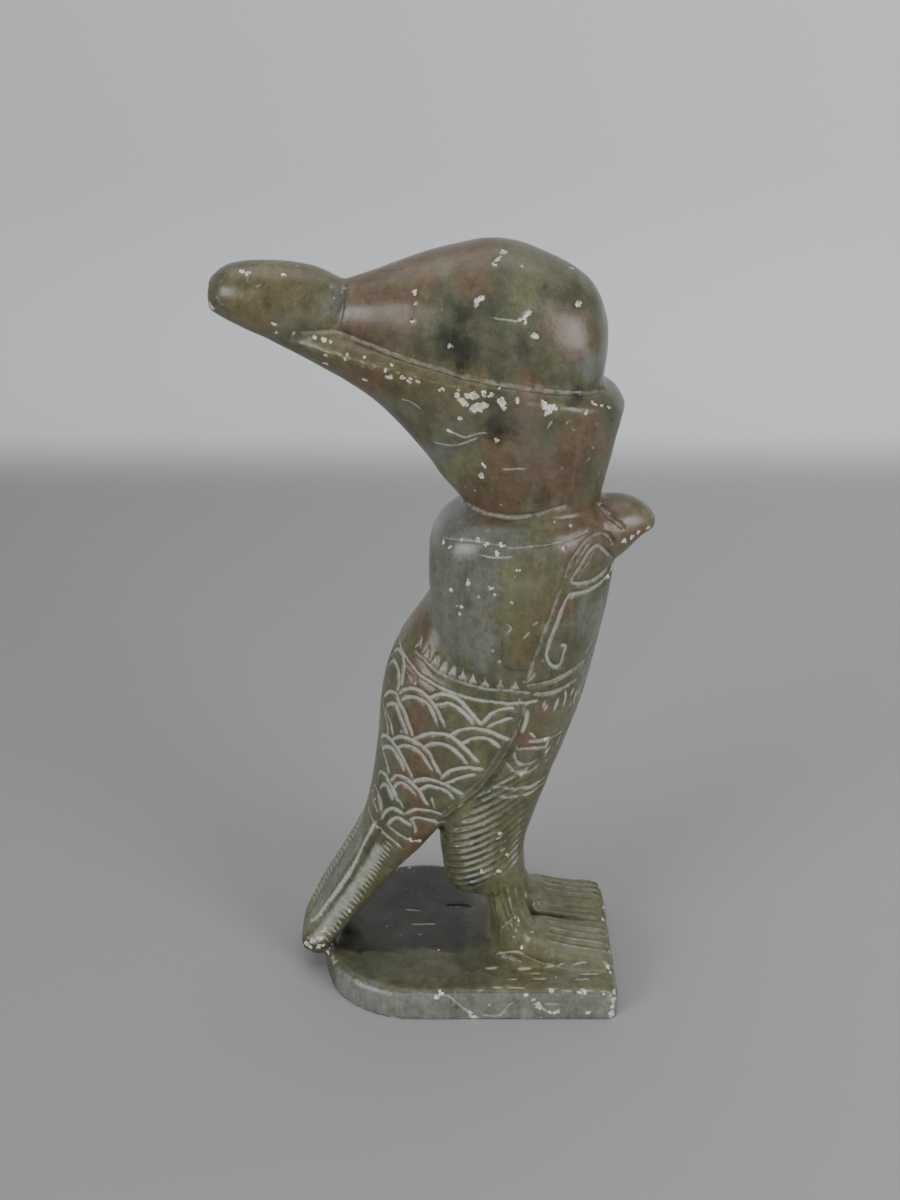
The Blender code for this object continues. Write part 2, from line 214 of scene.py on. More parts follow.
# %% The carver's grid
MM = 0.001
PLINTH_TOP = 9 * MM


def on_grid(forward, up, across=0.0):
    """The place of a grid point, measured from the middle of the plinth's top."""
    return Vector((forward * MM, across * MM, PLINTH_TOP + up * MM))


def smooth_through(rows, steps):
    """Rows of numbers with steps - 1 more between each two, on a smooth curve through them all."""
    rows = np.array(rows, float)
    padded = np.vstack([2 * rows[0] - rows[1], rows, 2 * rows[-1] - rows[-2]])
    smooth = []
    for i in range(len(rows) - 1):
        a, b, c, d = padded[i : i + 4]
        for t in np.arange(steps) / steps:
            smooth.append(
                0.5 * (2 * b + (c - a) * t + (2 * a - 5 * b + 4 * c - d) * t**2)
                + 0.5 * (3 * b - a - 3 * c + d) * t**3
            )
    smooth.append(rows[-1])
    return smooth


# %% Ovals and lofts
OVAL_POINTS = 72
BETWEEN_OVALS = 6


def bent(share, square):
    """A sine or cosine, bent so that its round grows squarer. A squareness of 2 leaves it round."""
    return math.copysign(abs(share) ** (2 / square), share)


def oval(row, side):
    """The points of one oval. A squareness of 2 is an ellipse, more is squarer, less is more pointed."""
    back_x, back_z, front_x, front_z, half, widest, back_square, front_square = row
    ring = []
    for i in range(OVAL_POINTS):
        turn = 2 * math.pi * (i + 0.5) / OVAL_POINTS
        along, across = math.cos(turn), math.sin(turn)
        square = front_square if along > 0 else back_square
        reach = 1 - widest if along > 0 else widest
        share = widest + bent(along, square) * reach
        wide = bent(across, square) * half
        forward = back_x + (front_x - back_x) * share
        ring.append(on_grid(forward, back_z + (front_z - back_z) * share, side + wide))
    return ring


def loft(name, rows, side=0.0, flat_rows=()):
    """A closed form through ovals. flat_rows follow without smoothing, as for a chamfer."""
    rings = [oval(row, side) for row in list(smooth_through(rows, BETWEEN_OVALS)) + list(flat_rows)]
    places = [place for ring in rings for place in ring]
    count = OVAL_POINTS
    faces = [tuple(range(count))[::-1], tuple(range(len(places) - count, len(places)))]
    for ring in range(len(rings) - 1):
        for i in range(count):
            low, next_low = ring * count + i, ring * count + (i + 1) % count
            faces.append((low, next_low, next_low + count, low + count))
    mesh = bpy.data.meshes.new(name)
    mesh.from_pydata(places, [], faces)
    made = in_scene(name, mesh)
    face_outwards(made)
    return made


def shaped(rows, widest=0.5, back_square=2.0, front_square=2.0):
    """Rows that all share one shape of oval."""
    return [(*row, widest, back_square, front_square) for row in rows]


# %% Feet, legs and thighs
FOOT_SPREAD = 10.5
THIGH_SPREAD = 8.2
FOOT = [
    (12, -3, 10.5, 5, 5),
    (15, -3, 14, 7.6, 7),
    (21, -3, 21, 8, 9),
    (30, -3, 30.5, 5.6, 9.8),
    (39.5, -3, 40, 4.2, 10.3),
    (43, -3, 43, 2.8, 10),
]
SHANK = [
    (4.4, 29, 17, 29, 5.6),
    (5.4, 20, 17, 20, 5.6),
    (7.4, 12, 19, 12, 6.2),
    (8.6, 6, 22.4, 6, 7.4),
    (8.6, -1, 27, -1, 9),
    (8.6, -4, 26, -4, 8.8),
]
THIGH = [
    (-4.5, 24.4, 14.5, 22.6, 6.5),
    (-6.6, 25.6, 16.4, 24, 9),
    (-7.6, 32, 16.8, 31, 10.4),
    (-8.4, 41, 16.8, 40, 11),
    (-8, 52, 19.6, 51, 11.2),
    (-6, 66, 23.8, 64, 10.6),
    (-4, 80, 26.8, 78, 8),
]
WEB = [
    (7, -2.5, 15.5, -2.5, 8),
    (7.6, 10, 13.4, 10, 7.5),
    (6.5, 20, 12.4, 20, 7.5),
    (2, 34, 13, 34, 7.5),
]
forms = [loft("web", shaped(WEB, 0.5, 4, 4))]
for side in (-1, 1):
    forms.append(loft("foot", shaped(FOOT, 0.5, 2.6, 2.6), side * FOOT_SPREAD))
    forms.append(loft("shank", shaped(SHANK), side * FOOT_SPREAD))
    forms.append(loft("thigh", shaped(THIGH, 0.5, 2.4, 2.2), side * THIGH_SPREAD))

# %% Breast and head, back and tail
BREAST = [
    (3, 40, 14, 40, 7),
    (1, 48, 17.4, 48, 12.6),
    (-1, 56, 21.2, 56, 16.8),
    (-2, 64, 25.4, 64, 18.8),
    (-2, 75, 29.2, 75, 19.8),
    (-4, 87, 32.8, 87, 20.1),
    (-8, 98, 35.2, 98, 20.1),
    (-10.2, 108, 37.2, 108, 20.1),
    (-11.2, 117, 38.7, 117, 20.1),
    (-11.4, 126, 39.4, 126, 20),
    (-10.5, 132.5, 39.2, 132.5, 19.6),
    (-8.2, 137.2, 38.2, 137.4, 18.4),
    (-3.8, 140.8, 36.2, 141.2, 15.4),
    (1, 143, 32, 143.2, 10),
]
MANTLE = [
    (-8, 120, 4, 119, 8, 0.5, 2, 2),
    (-13.6, 111.5, 7, 110, 13, 0.5, 2, 2),
    (-19.4, 102.5, 12, 101, 15.6, 0.52, 2.2, 3),
    (-23, 93.5, 16.8, 94.2, 20.4, 0.55, 2.1, 5),
    (-25.4, 83, 16, 86, 21.7, 0.57, 2, 6.5),
    (-26.6, 70, 12, 74.5, 21.7, 0.58, 2.1, 6.5),
    (-28, 58.5, 4.6, 63, 20.6, 0.58, 2.3, 6.5),
    (-30, 47.5, -4, 52, 18, 0.56, 2.8, 6),
    (-32.8, 36.5, -13.4, 38.6, 15, 0.52, 3.6, 5),
    (-38.8, 25.6, -22.6, 26.6, 12.6, 0.5, 4.6, 4.8),
    (-49.6, 5, -41, 0.5, 11, 0.5, 5, 5),
    (-51.9, -0.2, -45.4, -4.6, 10.2, 0.5, 4, 4),
]
BEAK = [
    (28, 124, 30, 143, 11),
    (36, 124.2, 37.6, 144, 9.6),
    (41.4, 127.6, 43.8, 143.4, 7.2),
    (46.2, 132.6, 48.6, 140.4, 5),
    (49, 134.4, 50.6, 137.4, 2.8),
]
forms.append(loft("breast", shaped(BREAST, 0.5, 3, 2.1)))
forms.append(loft("mantle", MANTLE))
forms.append(loft("beak", shaped(BEAK, 0.45, 2, 2.2)))

# %% The double crown
BOWL = [
    (-1.4, 139, 34, 139, 13.6, 0.5, 2.2, 2.2),
    (-1.8, 143, 34.8, 143, 13.6, 0.5, 2.2, 2.2),
    (-7.6, 150, 36, 149.6, 15, 0.52, 2.1, 2.2),
    (-14.2, 159, 37.4, 156.5, 17, 0.56, 1.9, 2.3),
    (-25, 170.5, 38.8, 163, 19, 0.6, 1.7, 2.3),
    (-40, 180, 39.8, 168, 20.4, 0.64, 1.5, 2.3),
    (-58, 189.6, 40.3, 170.6, 21, 0.68, 1.35, 2.3),
]
LIP = [(-57, 192, 38, 174, 18.4, 0.68, 1.35, 2.3), (-45, 193, 26, 181, 8, 0.6, 1.6, 2.3)]
BULB = [
    (34.8, 181.5, 35.1, 188.3, 2.6),
    (33.4, 174.5, 34.1, 193.4, 7.5),
    (29, 166.6, 30.6, 200.8, 13.4),
    (19.8, 162.8, 21.8, 207, 16.9),
    (4.6, 163.6, 6.6, 211.8, 17.9),
    (-10.6, 170.4, -8.6, 209.4, 15.6),
    (-24.6, 179.4, -23, 204.6, 11.4),
    (-34, 184, -33, 201.4, 8.2),
]
KNOB = [
    (-30, 184.5, -29.2, 200.4, 6.8),
    (-34, 184, -33, 202, 7.6),
    (-40, 183.6, -38.8, 204.8, 8.8),
    (-47.4, 185.2, -45.8, 206.2, 9.2),
    (-55.6, 188.4, -53.8, 206.4, 8.6),
    (-62.6, 191.8, -61.4, 205.4, 7),
    (-66.6, 194, -66.2, 202, 4),
]
forms.append(loft("crown_bowl", BOWL, flat_rows=LIP))
forms.append(loft("crown_bulb", shaped(BULB)))
forms.append(loft("crown_knob", shaped(KNOB)))


# %% Plinth
PLINTH_HALF = 0.033
BACK_CENTRE = -0.0115
BACK_SQUARE = 2.4
BACK_STEPS = 48
FRONT_RIGHT = (0.0405, -0.029, 0.004)
FRONT_LEFT = (0.0375, 0.0178, 0.007)
RIGHT_WALL_LEAN = 2 / 33
EDGE_ROUND = 0.0024


def corner(forward, across, radius, start):
    """A quarter turn of the plinth's outline, from a start angle in degrees."""
    turns = [math.radians(start + 15 * i) for i in range(7)]
    return [(forward + radius * math.cos(t), across + radius * math.sin(t), 0) for t in turns]


def plinth():
    """A full round back and a square front, drawn as an outline, extruded up and rounded on top."""
    outline = []
    for i in range(BACK_STEPS + 1):
        turn = math.pi * (0.5 + i / BACK_STEPS)
        along, across = bent(math.cos(turn), BACK_SQUARE), bent(math.sin(turn), BACK_SQUARE)
        outline.append((BACK_CENTRE + PLINTH_HALF * along, PLINTH_HALF * across, 0))
    outline += corner(*FRONT_RIGHT, -90) + corner(*FRONT_LEFT, 0)
    mesh = bpy.data.meshes.new("plinth")
    mesh.from_pydata(outline, [], [tuple(range(len(outline)))])
    made = in_scene("plinth", mesh)
    choose(made)
    bpy.ops.object.mode_set(mode="EDIT")
    bpy.ops.mesh.select_all(action="SELECT")
    bpy.ops.mesh.extrude_region_move(TRANSFORM_OT_translate={"value": (0, 0, PLINTH_TOP)})
    bpy.ops.object.mode_set(mode="OBJECT")
    for vertex in mesh.vertices:
        if vertex.co.z > 0 and vertex.co.y < 0:
            vertex.co.y *= 1 - RIGHT_WALL_LEAN
    bpy.ops.object.mode_set(mode="EDIT")
    bpy.ops.mesh.bevel(offset=EDGE_ROUND, segments=5, profile=0.5, affect="EDGES")
    bpy.ops.object.mode_set(mode="OBJECT")
    face_outwards(made)
    return made


forms.append(plinth())

# %% One skin
SKIN_SQUARE = 0.9 * MM
bpy.ops.object.select_all(action="DESELECT")
for form in forms:
    form.select_set(True)
bpy.context.view_layer.objects.active = forms[0]
bpy.ops.object.join()
stone = forms[0]
stone.name = "carved_falcon"
remesh = stone.modifiers.new("one skin", "REMESH")
remesh.mode = "VOXEL"
remesh.voxel_size = SKIN_SQUARE
rub = stone.modifiers.new("rubbed", "SMOOTH")
rub.factor = 0.5
rub.iterations = 3
apply_modifiers(stone)
bpy.ops.object.shade_smooth()
print("skin:", len(stone.data.polygons), "squares")

# %% [markdown]
# ## The carver's strokes
# The wings, the cloth's hem, the eyes, the thighs, the toes and the tail were drawn with a pointed
# chisel. Each stroke is a few points that are thrown on the stone, as a shadow is: around the body's
# axis for the wings, straight from the side for the head and legs, from above for the toes and from
# behind for the tail. A texture would only paint the strokes, and a Boolean would need hundreds of tools,
# so the strokes press the stone's own points inwards further on. A stroke of less than no depth raises
# them instead, for the wing's rolled edge and the tail's ridge.
# The right side is drawn as seen, and the left side is its mirror, a little unsteady as hand work is.

# %% Throwing points on the stone
BODY_AXIS = 2
STROKE_POINT_GAP = 0.4
WOBBLE = 0.16
WOBBLE_PITCH = 0.22
WOBBLE_SHIFT = 0.37
DEGREE_LENGTH = 0.36
DEGREES_TO_A_MM = 2.8
OUTSIDE = 300
SEED = 11
# Until it is given a seed, Blender's noise vector starts from the clock and differs in each run.
noise.seed_set(SEED)
stone_tree = BVHTree.FromObject(stone, bpy.context.evaluated_depsgraph_get())


def first_place(start, towards):
    """Where a line first meets the stone, or None."""
    return stone_tree.ray_cast(start, towards)[0]


def around(point, side):
    """(degrees from the front, up), thrown at the body's axis. side is -1 for the bird's right."""
    turn = math.radians(point[0]) * side
    outward = Vector((math.cos(turn), math.sin(turn), 0))
    return first_place(on_grid(BODY_AXIS, point[1]) + outward * OUTSIDE * MM, -outward)


def from_side(point, side):
    """(forward, up), thrown straight across the figure."""
    return first_place(on_grid(*point, OUTSIDE * side), Vector((0, -side, 0)))


def from_above(point, side):
    """(forward, distance from the middle), thrown down on the feet and the plinth."""
    return first_place(on_grid(point[0], 20, point[1] * side), Vector((0, 0, -1)))


def from_behind(point, side):
    """(distance from the middle, up), thrown forward on the back and the tail."""
    return first_place(on_grid(-OUTSIDE, point[1], point[0] * side), Vector((1, 0, 0)))


# %% Strokes
strokes = []


def steps_between(points, thrower):
    """How many steps each stretch of a stroke needs. A degree around the body is about a third of a mm."""
    scale = DEGREE_LENGTH if thrower is around else 1
    lengths = [math.hypot((b[0] - a[0]) * scale, b[1] - a[1]) for a, b in zip(points, points[1:])]
    return max(1, math.ceil(max(lengths) / STROKE_POINT_GAP))


def carve(points, thrower, half_width=0.8, depth=0.7, chalk=1.0, sides=(-1, 1)):
    """Draws a stroke on one or both sides of the figure. Sizes are in mm, chalk is 0 to 1: pale dust, and on
    some raised ridges a painted highlight.
    """
    for side in sides:
        unsteady = Vector((7.0 * side, len(strokes) * WOBBLE_SHIFT, points[0][1]))
        places = []
        for place in smooth_through(points, steps_between(points, thrower)):
            shake = noise.noise_vector(unsteady + Vector((*place, 0)) * WOBBLE_PITCH) * WOBBLE
            factor = DEGREES_TO_A_MM if thrower is around else 1
            thrown = thrower((place[0] + shake.x * factor, place[1] + shake.y), side)
            if thrown is not None:
                places.append(thrown)
        if places:
            strokes.append((places, half_width, depth, chalk))


def moved(line, forward, up=0.0):
    """The points of a stroke, all moved by the same amounts."""
    return [(first + forward, second + up) for first, second in line]


# %% Wings: the scales, each a double arc
SCALE_ARCS = [
    [(180, 95), (175, 98), (168, 99.7), (159, 99.6), (152, 97.6), (150, 94.7), (149, 92.4)],
    [(181, 91), (173, 95), (167, 96.3), (158, 95.9), (153, 93.9), (152, 90.4)],
    [(171, 84.1), (166, 86.5), (162, 88), (154, 89.2), (149, 87.5), (143, 85), (139, 82.2), (135, 79.6)],
    [(164, 83.2), (159, 84.9), (153, 86), (149, 84.7), (144, 82.1), (139, 78.9)],
    [(150, 89.7), (147, 91.4), (142, 92.7), (136, 93.2), (130, 92.7), (124, 91.2), (119, 89), (113, 84.4)],
    [(147, 88.3), (144, 89.8), (138, 90.7), (133, 90.8), (127, 90.3), (123, 88.5), (118, 84.4)],
    [(126, 91.7), (121, 92.9), (115, 93.6), (107, 93), (101, 91.5), (95, 89), (90, 86.6), (87, 85.3)],
    [(122, 89.8), (117, 90.6), (111, 91.2), (106, 90.5), (100, 88.9), (96, 87.2), (93, 85.4)],
    [(86, 85.7), (83, 87.4), (78, 88.9), (72, 89.7), (67, 90), (64, 89.7)],
    [(83, 84.4), (78, 85.4), (73, 86.2), (69, 86.6), (65, 86.6)],
    [(169, 71.3), (165, 73.3), (159, 74.5), (152, 74.4), (146, 73.3), (141, 71.4), (137, 68.8), (133, 66.5)],
    [(162, 69.5), (159, 71.3), (153, 72.3), (148, 71.8), (143, 70.4), (139, 68.1)],
    [(153, 74.3), (149, 76.3), (144, 77.6), (138, 78), (132, 77.6), (127, 76.6), (122, 74.6), (115, 68.7)],
    [(147, 73.2), (143, 75), (138, 75.8), (133, 75.6), (128, 74.4), (125, 72.6), (121, 70.2)],
    [(135, 77.8), (130, 79.8), (125, 81), (119, 81.8), (112, 81.8), (107, 80.9), (102, 79.2), (88, 72.9)],
    [(127, 76.6), (123, 77.9), (118, 78.8), (112, 78.5), (107, 77.3), (102, 75.2), (97, 72.2)],
    [(111, 80.9), (107, 82.4), (102, 83.4), (95, 83.9), (85, 83.5), (78, 82.5), (72, 81.1), (67, 79.9)],
    [(102, 78.8), (98, 79.8), (93, 80.7), (87, 81), (81, 80.5), (77, 79.3), (73, 77.5)],
    [(163, 59.7), (163, 61.4), (160, 62.8), (154, 63.3), (151, 62.1), (146, 60.5), (142, 59.1)],
    [(158, 57.8), (156, 59.7), (152, 60.4), (148, 59.2), (145, 57.8)],
    [(149, 62.6), (147, 64.1), (145, 65.2), (140, 65.8), (135, 65.2), (130, 63.4), (127, 61), (124, 57.3)],
    [(147, 60.4), (144, 62.7), (141, 63.7), (137, 63.6), (134, 62.7), (131, 61.2)],
    [(133, 64.7), (131, 66), (126, 66.8), (121, 66.9), (116, 66.2), (110, 64.7), (105, 63.1), (100, 61.5)],
    [(129, 62.8), (125, 64.4), (122, 64.8), (118, 64.2), (113, 63.3), (107, 60)],
    [(115, 67.4), (112, 69.1), (108, 70.3), (103, 71), (97, 71.2), (91, 70.9), (85, 70.4)],
    [(114, 65.7), (109, 66.4), (105, 67.2), (99, 68.1), (95, 68.5), (91, 68.7)],
    [(152, 49.6), (150, 52.3), (147, 54.2), (144, 54.9), (141, 54.8), (138, 53.8)],
    [(147, 48.6), (145, 50.6), (142, 52), (140, 51.8), (138, 50.6), (136, 49)],
    [(138, 53.7), (134, 55.3), (131, 56), (127, 55.7), (122, 54.9), (117, 53.4)],
    [(136, 51.4), (134, 52.2), (131, 52.4), (127, 51.7), (123, 50.6), (119, 48.4)],
]
WING_LEGS = [
    [(172, 82.8), (165, 81.3), (159, 78.2), (157, 74.6)],
    [(164, 82.6), (159, 80.8), (154, 78.7), (151, 76.3)],
    [(165, 71), (159, 68.5), (154, 66.4), (151, 64.1)],
    [(170, 53.7), (167, 56.2), (160, 56.3), (155, 55), (152, 52.9)],
    [(147, 60.4), (144, 59.1), (140, 57.6), (138, 55.8)],
    [(168, 52.6), (161, 52), (154, 50.8)],
    [(161, 55.7), (156, 53.9), (152, 51.9)],
    [(122, 61), (121, 56.6)],
    [(147, 48.6), (144, 46.8), (142, 45), (140, 43.3)],
    [(135, 51.4), (135, 48.5), (136, 45.9)],
    [(180, 46.6), (168, 47.8), (160, 47.6), (153, 46.8), (149, 45.5), (146, 43.1), (144, 39.8)],
]
for arc in SCALE_ARCS:
    carve(arc, around, 0.76, 0.6, 0.8)
for leg in WING_LEGS:
    carve(leg, around, 0.6, 0.4, 0.7)
print("wing strokes:", len(strokes))

# %% The hem of the head cloth, and the band across the breast
HEM_LOW = [
    (180, 101.6), (170, 101.1), (161, 100.5), (150, 99.4), (141, 98), (133, 96.9), (126, 96.1), (117, 95.1),
    (108, 94), (98, 93), (88, 92.2), (76, 91.7), (66, 91.2), (56, 91), (50, 91.5),
]
HEM_HIGH = [
    (146, 102.3), (136, 101), (127, 99.3), (114, 97.7), (104, 96.9), (96, 96.2), (88, 95.6), (80, 95.1),
    (70, 94.9), (60, 94.4), (54, 93.8),
]
HEM_TEETH = [
    (145, 103.4), (136, 101.6), (128, 100.1), (120, 98.9), (112, 98), (103, 97.2), (94, 96.4), (84, 95.8),
    (73, 95.3), (63, 95),
]
BREAST_BAND_HIGH = [
    (56, 96.4), (49, 96.5), (43, 97), (37, 97.8), (31, 98.6), (22, 99.6), (10, 100.3), (0, 100.5),
]
BREAST_BAND_LOW = [
    (52, 93.7), (46, 93.5), (40, 93.8), (33, 94.3), (23, 95.2), (10, 95.8), (0, 96),
]
carve(HEM_LOW, around, 0.66, 0.5, 0.7)
carve(HEM_HIGH, around, 0.6, 0.45, 0.5)
carve(BREAST_BAND_HIGH, around, 0.75, 0.6, 0.42)
carve(BREAST_BAND_LOW, around, 0.75, 0.55, 0.42)
for degrees, up in HEM_TEETH:
    for lean in (-2.4, 0, 2.4):
        tall = 2.7 - 0.5 * abs(lean)
        carve([(degrees + lean * 0.9, up), (degrees + lean * 0.2, up + tall)], around, 0.55, 0.4, 0.7)
carve([(155, 98.3), (148, 98), (142, 97.3), (137, 95.9)], around, 0.6, 0.5, 0.4)
carve([(148, 96.6), (143, 95.8), (139, 94.8)], around, 0.45, 0.35, 0.6)

# %% The eyes, brows and the long cheek mark
CHEEK_MARK = [
    (38.4, 123.8), (36.7, 123.4), (34.3, 122.7), (31.3, 122.2), (28.2, 122.3), (26, 122.1), (24.5, 118.7),
    (23.5, 115.9), (22.5, 112.9), (21.3, 109), (20.6, 105.2), (21.5, 102.7), (22.9, 101.3), (24.6, 101.7),
    (25.3, 104.3), (25.8, 107), (24.6, 107.6),
]
EYE_RIM = [
    (38.4, 128.4), (36.2, 131.7), (33.7, 134.3), (31.4, 133.2), (30.1, 131.2), (28.5, 128.8), (26.9, 126.3),
    (28, 125.1), (30.6, 124.7), (33.2, 124.7), (35.5, 125.4), (37.7, 126.2),
]
BROW = [
    (38, 133.9), (36.5, 135.9), (34.2, 137.2), (31.9, 137.1), (29.7, 136), (28.1, 134), (26.4, 131.8),
    (25, 128.6),
]
CLOTH_EDGE = [
    (24.2, 125.3), (22.5, 120.6), (21.3, 116.6), (19.8, 112.6), (18.6, 108.5), (17.3, 104.7), (16.3, 100.5),
    (15.3, 97.2),
]
HEAD_TOP = [
    (-8.1, 135.8), (-4.2, 136.8), (1.8, 137.3), (7.5, 136.9), (10.6, 136.2), (15.2, 136.6), (19.9, 137),
    (24.4, 137.5), (27.7, 138.2), (30.7, 138.9),
]
BEAK_CORNER = [(33.4, 143.8), (35.5, 142), (37, 140.5), (38.9, 139.2), (40.6, 137.4)]
carve(CHEEK_MARK, from_side, 0.72, 0.6, 0.7)
carve(EYE_RIM, from_side, 0.9, 0.9, 0.6)
carve(BROW, from_side, 0.9, 0.8, 0.42)
carve(CLOTH_EDGE, from_side, 0.8, 0.5, 0.42)
carve(BEAK_CORNER, from_side, 0.9, 0.6, 0.35)
carve(HEAD_TOP, from_side, 0.4, 0.15, 0.5)
carve([(15, 96.6), (16.6, 98.4), (17.6, 100.2)], from_side, 0.6, 0.4, 0.5)
carve([(25.8, 125.6), (25.2, 120), (24.6, 116), (23.4, 111), (22.4, 107)], from_side, 0.7, -0.2, 0.12)

# %% The breast: a beaded necklace drawn as bowed lines and short strokes
for bow in (
    [(62, 75.6), (62, 73.6), (60, 71.9), (57, 70.8), (54, 70.7), (50, 71.1), (46, 72.3)],
    [(67, 71.5), (64, 69.8), (61, 68.4), (56, 67.6), (51, 67.9), (47, 68.8), (44, 70.4)],
    [(61, 75.9), (56, 76.2), (51, 76.3), (46, 75.9), (41, 75.6)],
    [(54, 78.8), (49, 78.6), (44, 78.3), (36, 77.8), (30, 78.2), (20, 79), (8, 79.8), (0, 80)],
    [(77, 63.3), (67, 62.9), (60, 62), (53, 62.2), (47, 62.3), (40, 62.9), (25, 63.6), (10, 64), (0, 64)],
    [(73, 60), (65, 59.6), (58, 59.6), (52, 59.7), (47, 60.2), (38, 60.9), (22, 61.4), (0, 61.8)],
):
    carve(bow, around, 0.68, 0.5, 0.55)
BREAST_DABS = [
    [(46, 91), (47, 89)], [(44.5, 89.8), (46, 88)], [(38, 91), (40, 87)], [(34, 93), (33, 90), (34, 87.6)],
    [(27.6, 92.4), (29.4, 90)], [(27.6, 87.8), (28.3, 86.2)], [(24, 90.8), (25, 86.4)],
    [(20, 92), (20.6, 88.4)], [(15, 91.2), (15.4, 86.2)], [(9, 92), (9.2, 87.4)], [(3, 91), (3, 86)],
    [(54, 81.5), (50, 79.4)], [(41, 78), (42.5, 75)], [(38.5, 75.4), (41.5, 72)],
    [(53, 69.6), (54.5, 67.4)], [(30, 77), (31, 73.6)], [(22, 77.6), (23, 73)], [(14, 78), (14.6, 73.6)],
    [(5, 78.4), (5.2, 73.6)],
]
for dab in BREAST_DABS:
    carve(dab, around, 0.6, 0.35, 0.85)
carve([(56.6, 68.2), (56, 66.6)], around, 1.1, 0.3, 1.0)
carve([(55.6, 88.6), (56.2, 85.6), (57.1, 83.4), (58.7, 81.2)], around, 0.8, 0.3, 0.75)
carve([(60.5, 77.6), (61.5, 75.9)], around, 0.5, 0.25, 0.6)
print("strokes with head and breast:", len(strokes))

# %% The thighs' long feathers
WING_EDGE = [(-28, 20), (-18.8, 32.6), (-11.2, 45.4), (-5.5, 52.2), (2.4, 61.3), (12, 76.7), (16.3, 92)]
FLUTES = 14
FLUTE_PITCH = 2.5
FLUTE_LOWEST = 24.2
THIGH_BACK = -7.4
THIGH_DEPTH = 23


def wing_forward(up):
    """How far forward the wing's front edge stands at a height."""
    return float(np.interp(up, [row[1] for row in WING_EDGE], [row[0] for row in WING_EDGE]))


for k in range(FLUTES):
    low = FLUTE_LOWEST + k * FLUTE_PITCH
    back, front = max(THIGH_BACK, wing_forward(low + 6) + 0.8), 15.4 + 0.06 * k
    feather = []
    for share in (0, 0.25, 0.5, 0.75, 1):
        forward = back + (front - back) * share
        run = (forward - THIGH_BACK) / THIGH_DEPTH
        feather.append((forward, low + 8.5 * run + 4.5 * run**2))
    carve(feather, from_side, 0.95, 0.62, 0.0)
    # The pale on each raised ridge between the flutes is a painted highlight.
    carve(moved(feather[:-1], 0, FLUTE_PITCH * 0.5), from_side, 0.55, -0.12, 0.22)
SHIN_LINES = [
    [(8.3, 29), (9, 23.4), (10.3, 18.2), (11.6, 14), (12.4, 11)],
    [(10.3, 27), (11.5, 19.9), (13, 15.3), (14.8, 11)],
    [(12.6, 26.7), (13.6, 21), (15.1, 16), (17.4, 11), (19.4, 8.6)],
    [(15, 25.2), (16, 18.4), (18, 13.4), (21.2, 9.2), (24, 7.6)],
    [(6.6, 25), (7.2, 19), (8.4, 13), (9.2, 8)],
]
for line in SHIN_LINES:
    carve(line, from_side, 0.9, 0.55, 0.0)
    carve(moved(line, 1.0), from_side, 0.5, -0.1, 0.26)
for blemish in ([(11, 13), (13, 14.6), (14.6, 16)], [(14, 13.2), (15.4, 12.2)], [(9.6, 10.4), (10.8, 12.6)]):
    carve(blemish, from_side, 0.5, 0.3, 0.55)

# %% Toes, and the valley between the feet
VALLEY = [(22.5, 2.4), (27, 2.9), (32, 3.1), (38, 3.1), (44.4, 3.0)]
carve(VALLEY, from_above, 2.4, 1.5, 0.0, sides=(1,))
carve(moved(VALLEY, 0, 1.5), from_above, 2.2, 0.9, 0.0, sides=(1,))
carve([(30, 3.8), (31.4, 3.4)], from_above, 0.4, 0.1, 0.8, sides=(1,))
TOE_GROOVES = {-1: (5.6, 8.9, 12.2, 15.4), 1: (8.4, 11.2, 14, 16.8)}
for side, grooves in TOE_GROOVES.items():
    for across in grooves:
        toe = [(24 + 4.9 * k, across * (0.95 + 0.013 * k)) for k in range(5)]
        carve(toe, from_above, 1.25, 0.55, 0.0, sides=(side,))
        # The pale on each raised toe ridge is a painted highlight.
        carve(moved(toe, 0, 1.5), from_above, 0.6, -0.15, 0.42, sides=(side,))
FOOT_ROOT = [(8.7, 0.3), (10.6, 1.8), (12.6, 3.6), (14.7, 4.2), (17, 3.2), (20, 2.0), (24, 1.0), (29.4, 0.4)]
# The pale line along the foot's root is partly chalk and partly a painted highlight on its bright rim.
carve(FOOT_ROOT[:5], from_side, 0.6, 0.25, 0.7)
carve(FOOT_ROOT[4:], from_side, 0.55, 0.2, 0.4)
carve([(10.4, 0.4), (13, 1.6), (15.4, 1.6)], from_side, 1.4, 0.4, 0.3)

# %% The tail: a ridge down each side, with barbs on both sides of a pale shaft
TAIL_RIDGE = [
    (-27.0, 48), (-29.4, 42), (-31.9, 36), (-34.7, 29.8), (-38.2, 23.4), (-42, 17.2), (-46, 10.6),
    (-50.6, 4),
]
SHAFT_OFFSET = (3.3, -1.6)
carve(TAIL_RIDGE, from_side, 1.0, -0.45, 0.8)
carve(moved(TAIL_RIDGE, 1.5, -0.7), from_side, 0.9, 0.8, 0.0)
carve(moved(TAIL_RIDGE[1:], *SHAFT_OFFSET), from_side, 2.8, 0.0, 0.62)
carve(moved(TAIL_RIDGE[1:], -2.4, 0.2), from_side, 2.6, 0.0, 0.75)
ridge = smooth_through(TAIL_RIDGE, 8)
for along in range(5, len(ridge) - 3, 2):
    forward, up = ridge[along]
    barb = 0.5 + 0.45 * math.sin(along * 2.3)
    carve([(forward - 2.0, up + 1.2), (forward - 0.6, up - 1.6 - barb)], from_side, 0.45, 0.3, 0.7)
    carve([(forward + 4.0, up - 1.2), (forward + 6.2, up - 3.8 - barb)], from_side, 0.5, 0.3, 0.75)
    carve([(1.2, up + 1.6), (4.6, up + 0.4), (8.4, up - 1.6)], from_behind, 0.45, 0.35, 0.7)
carve([(0, 46), (0, 34), (0, 22), (0, 10), (0, 3)], from_behind, 0.8, 0.5, 0.25, sides=(1,))

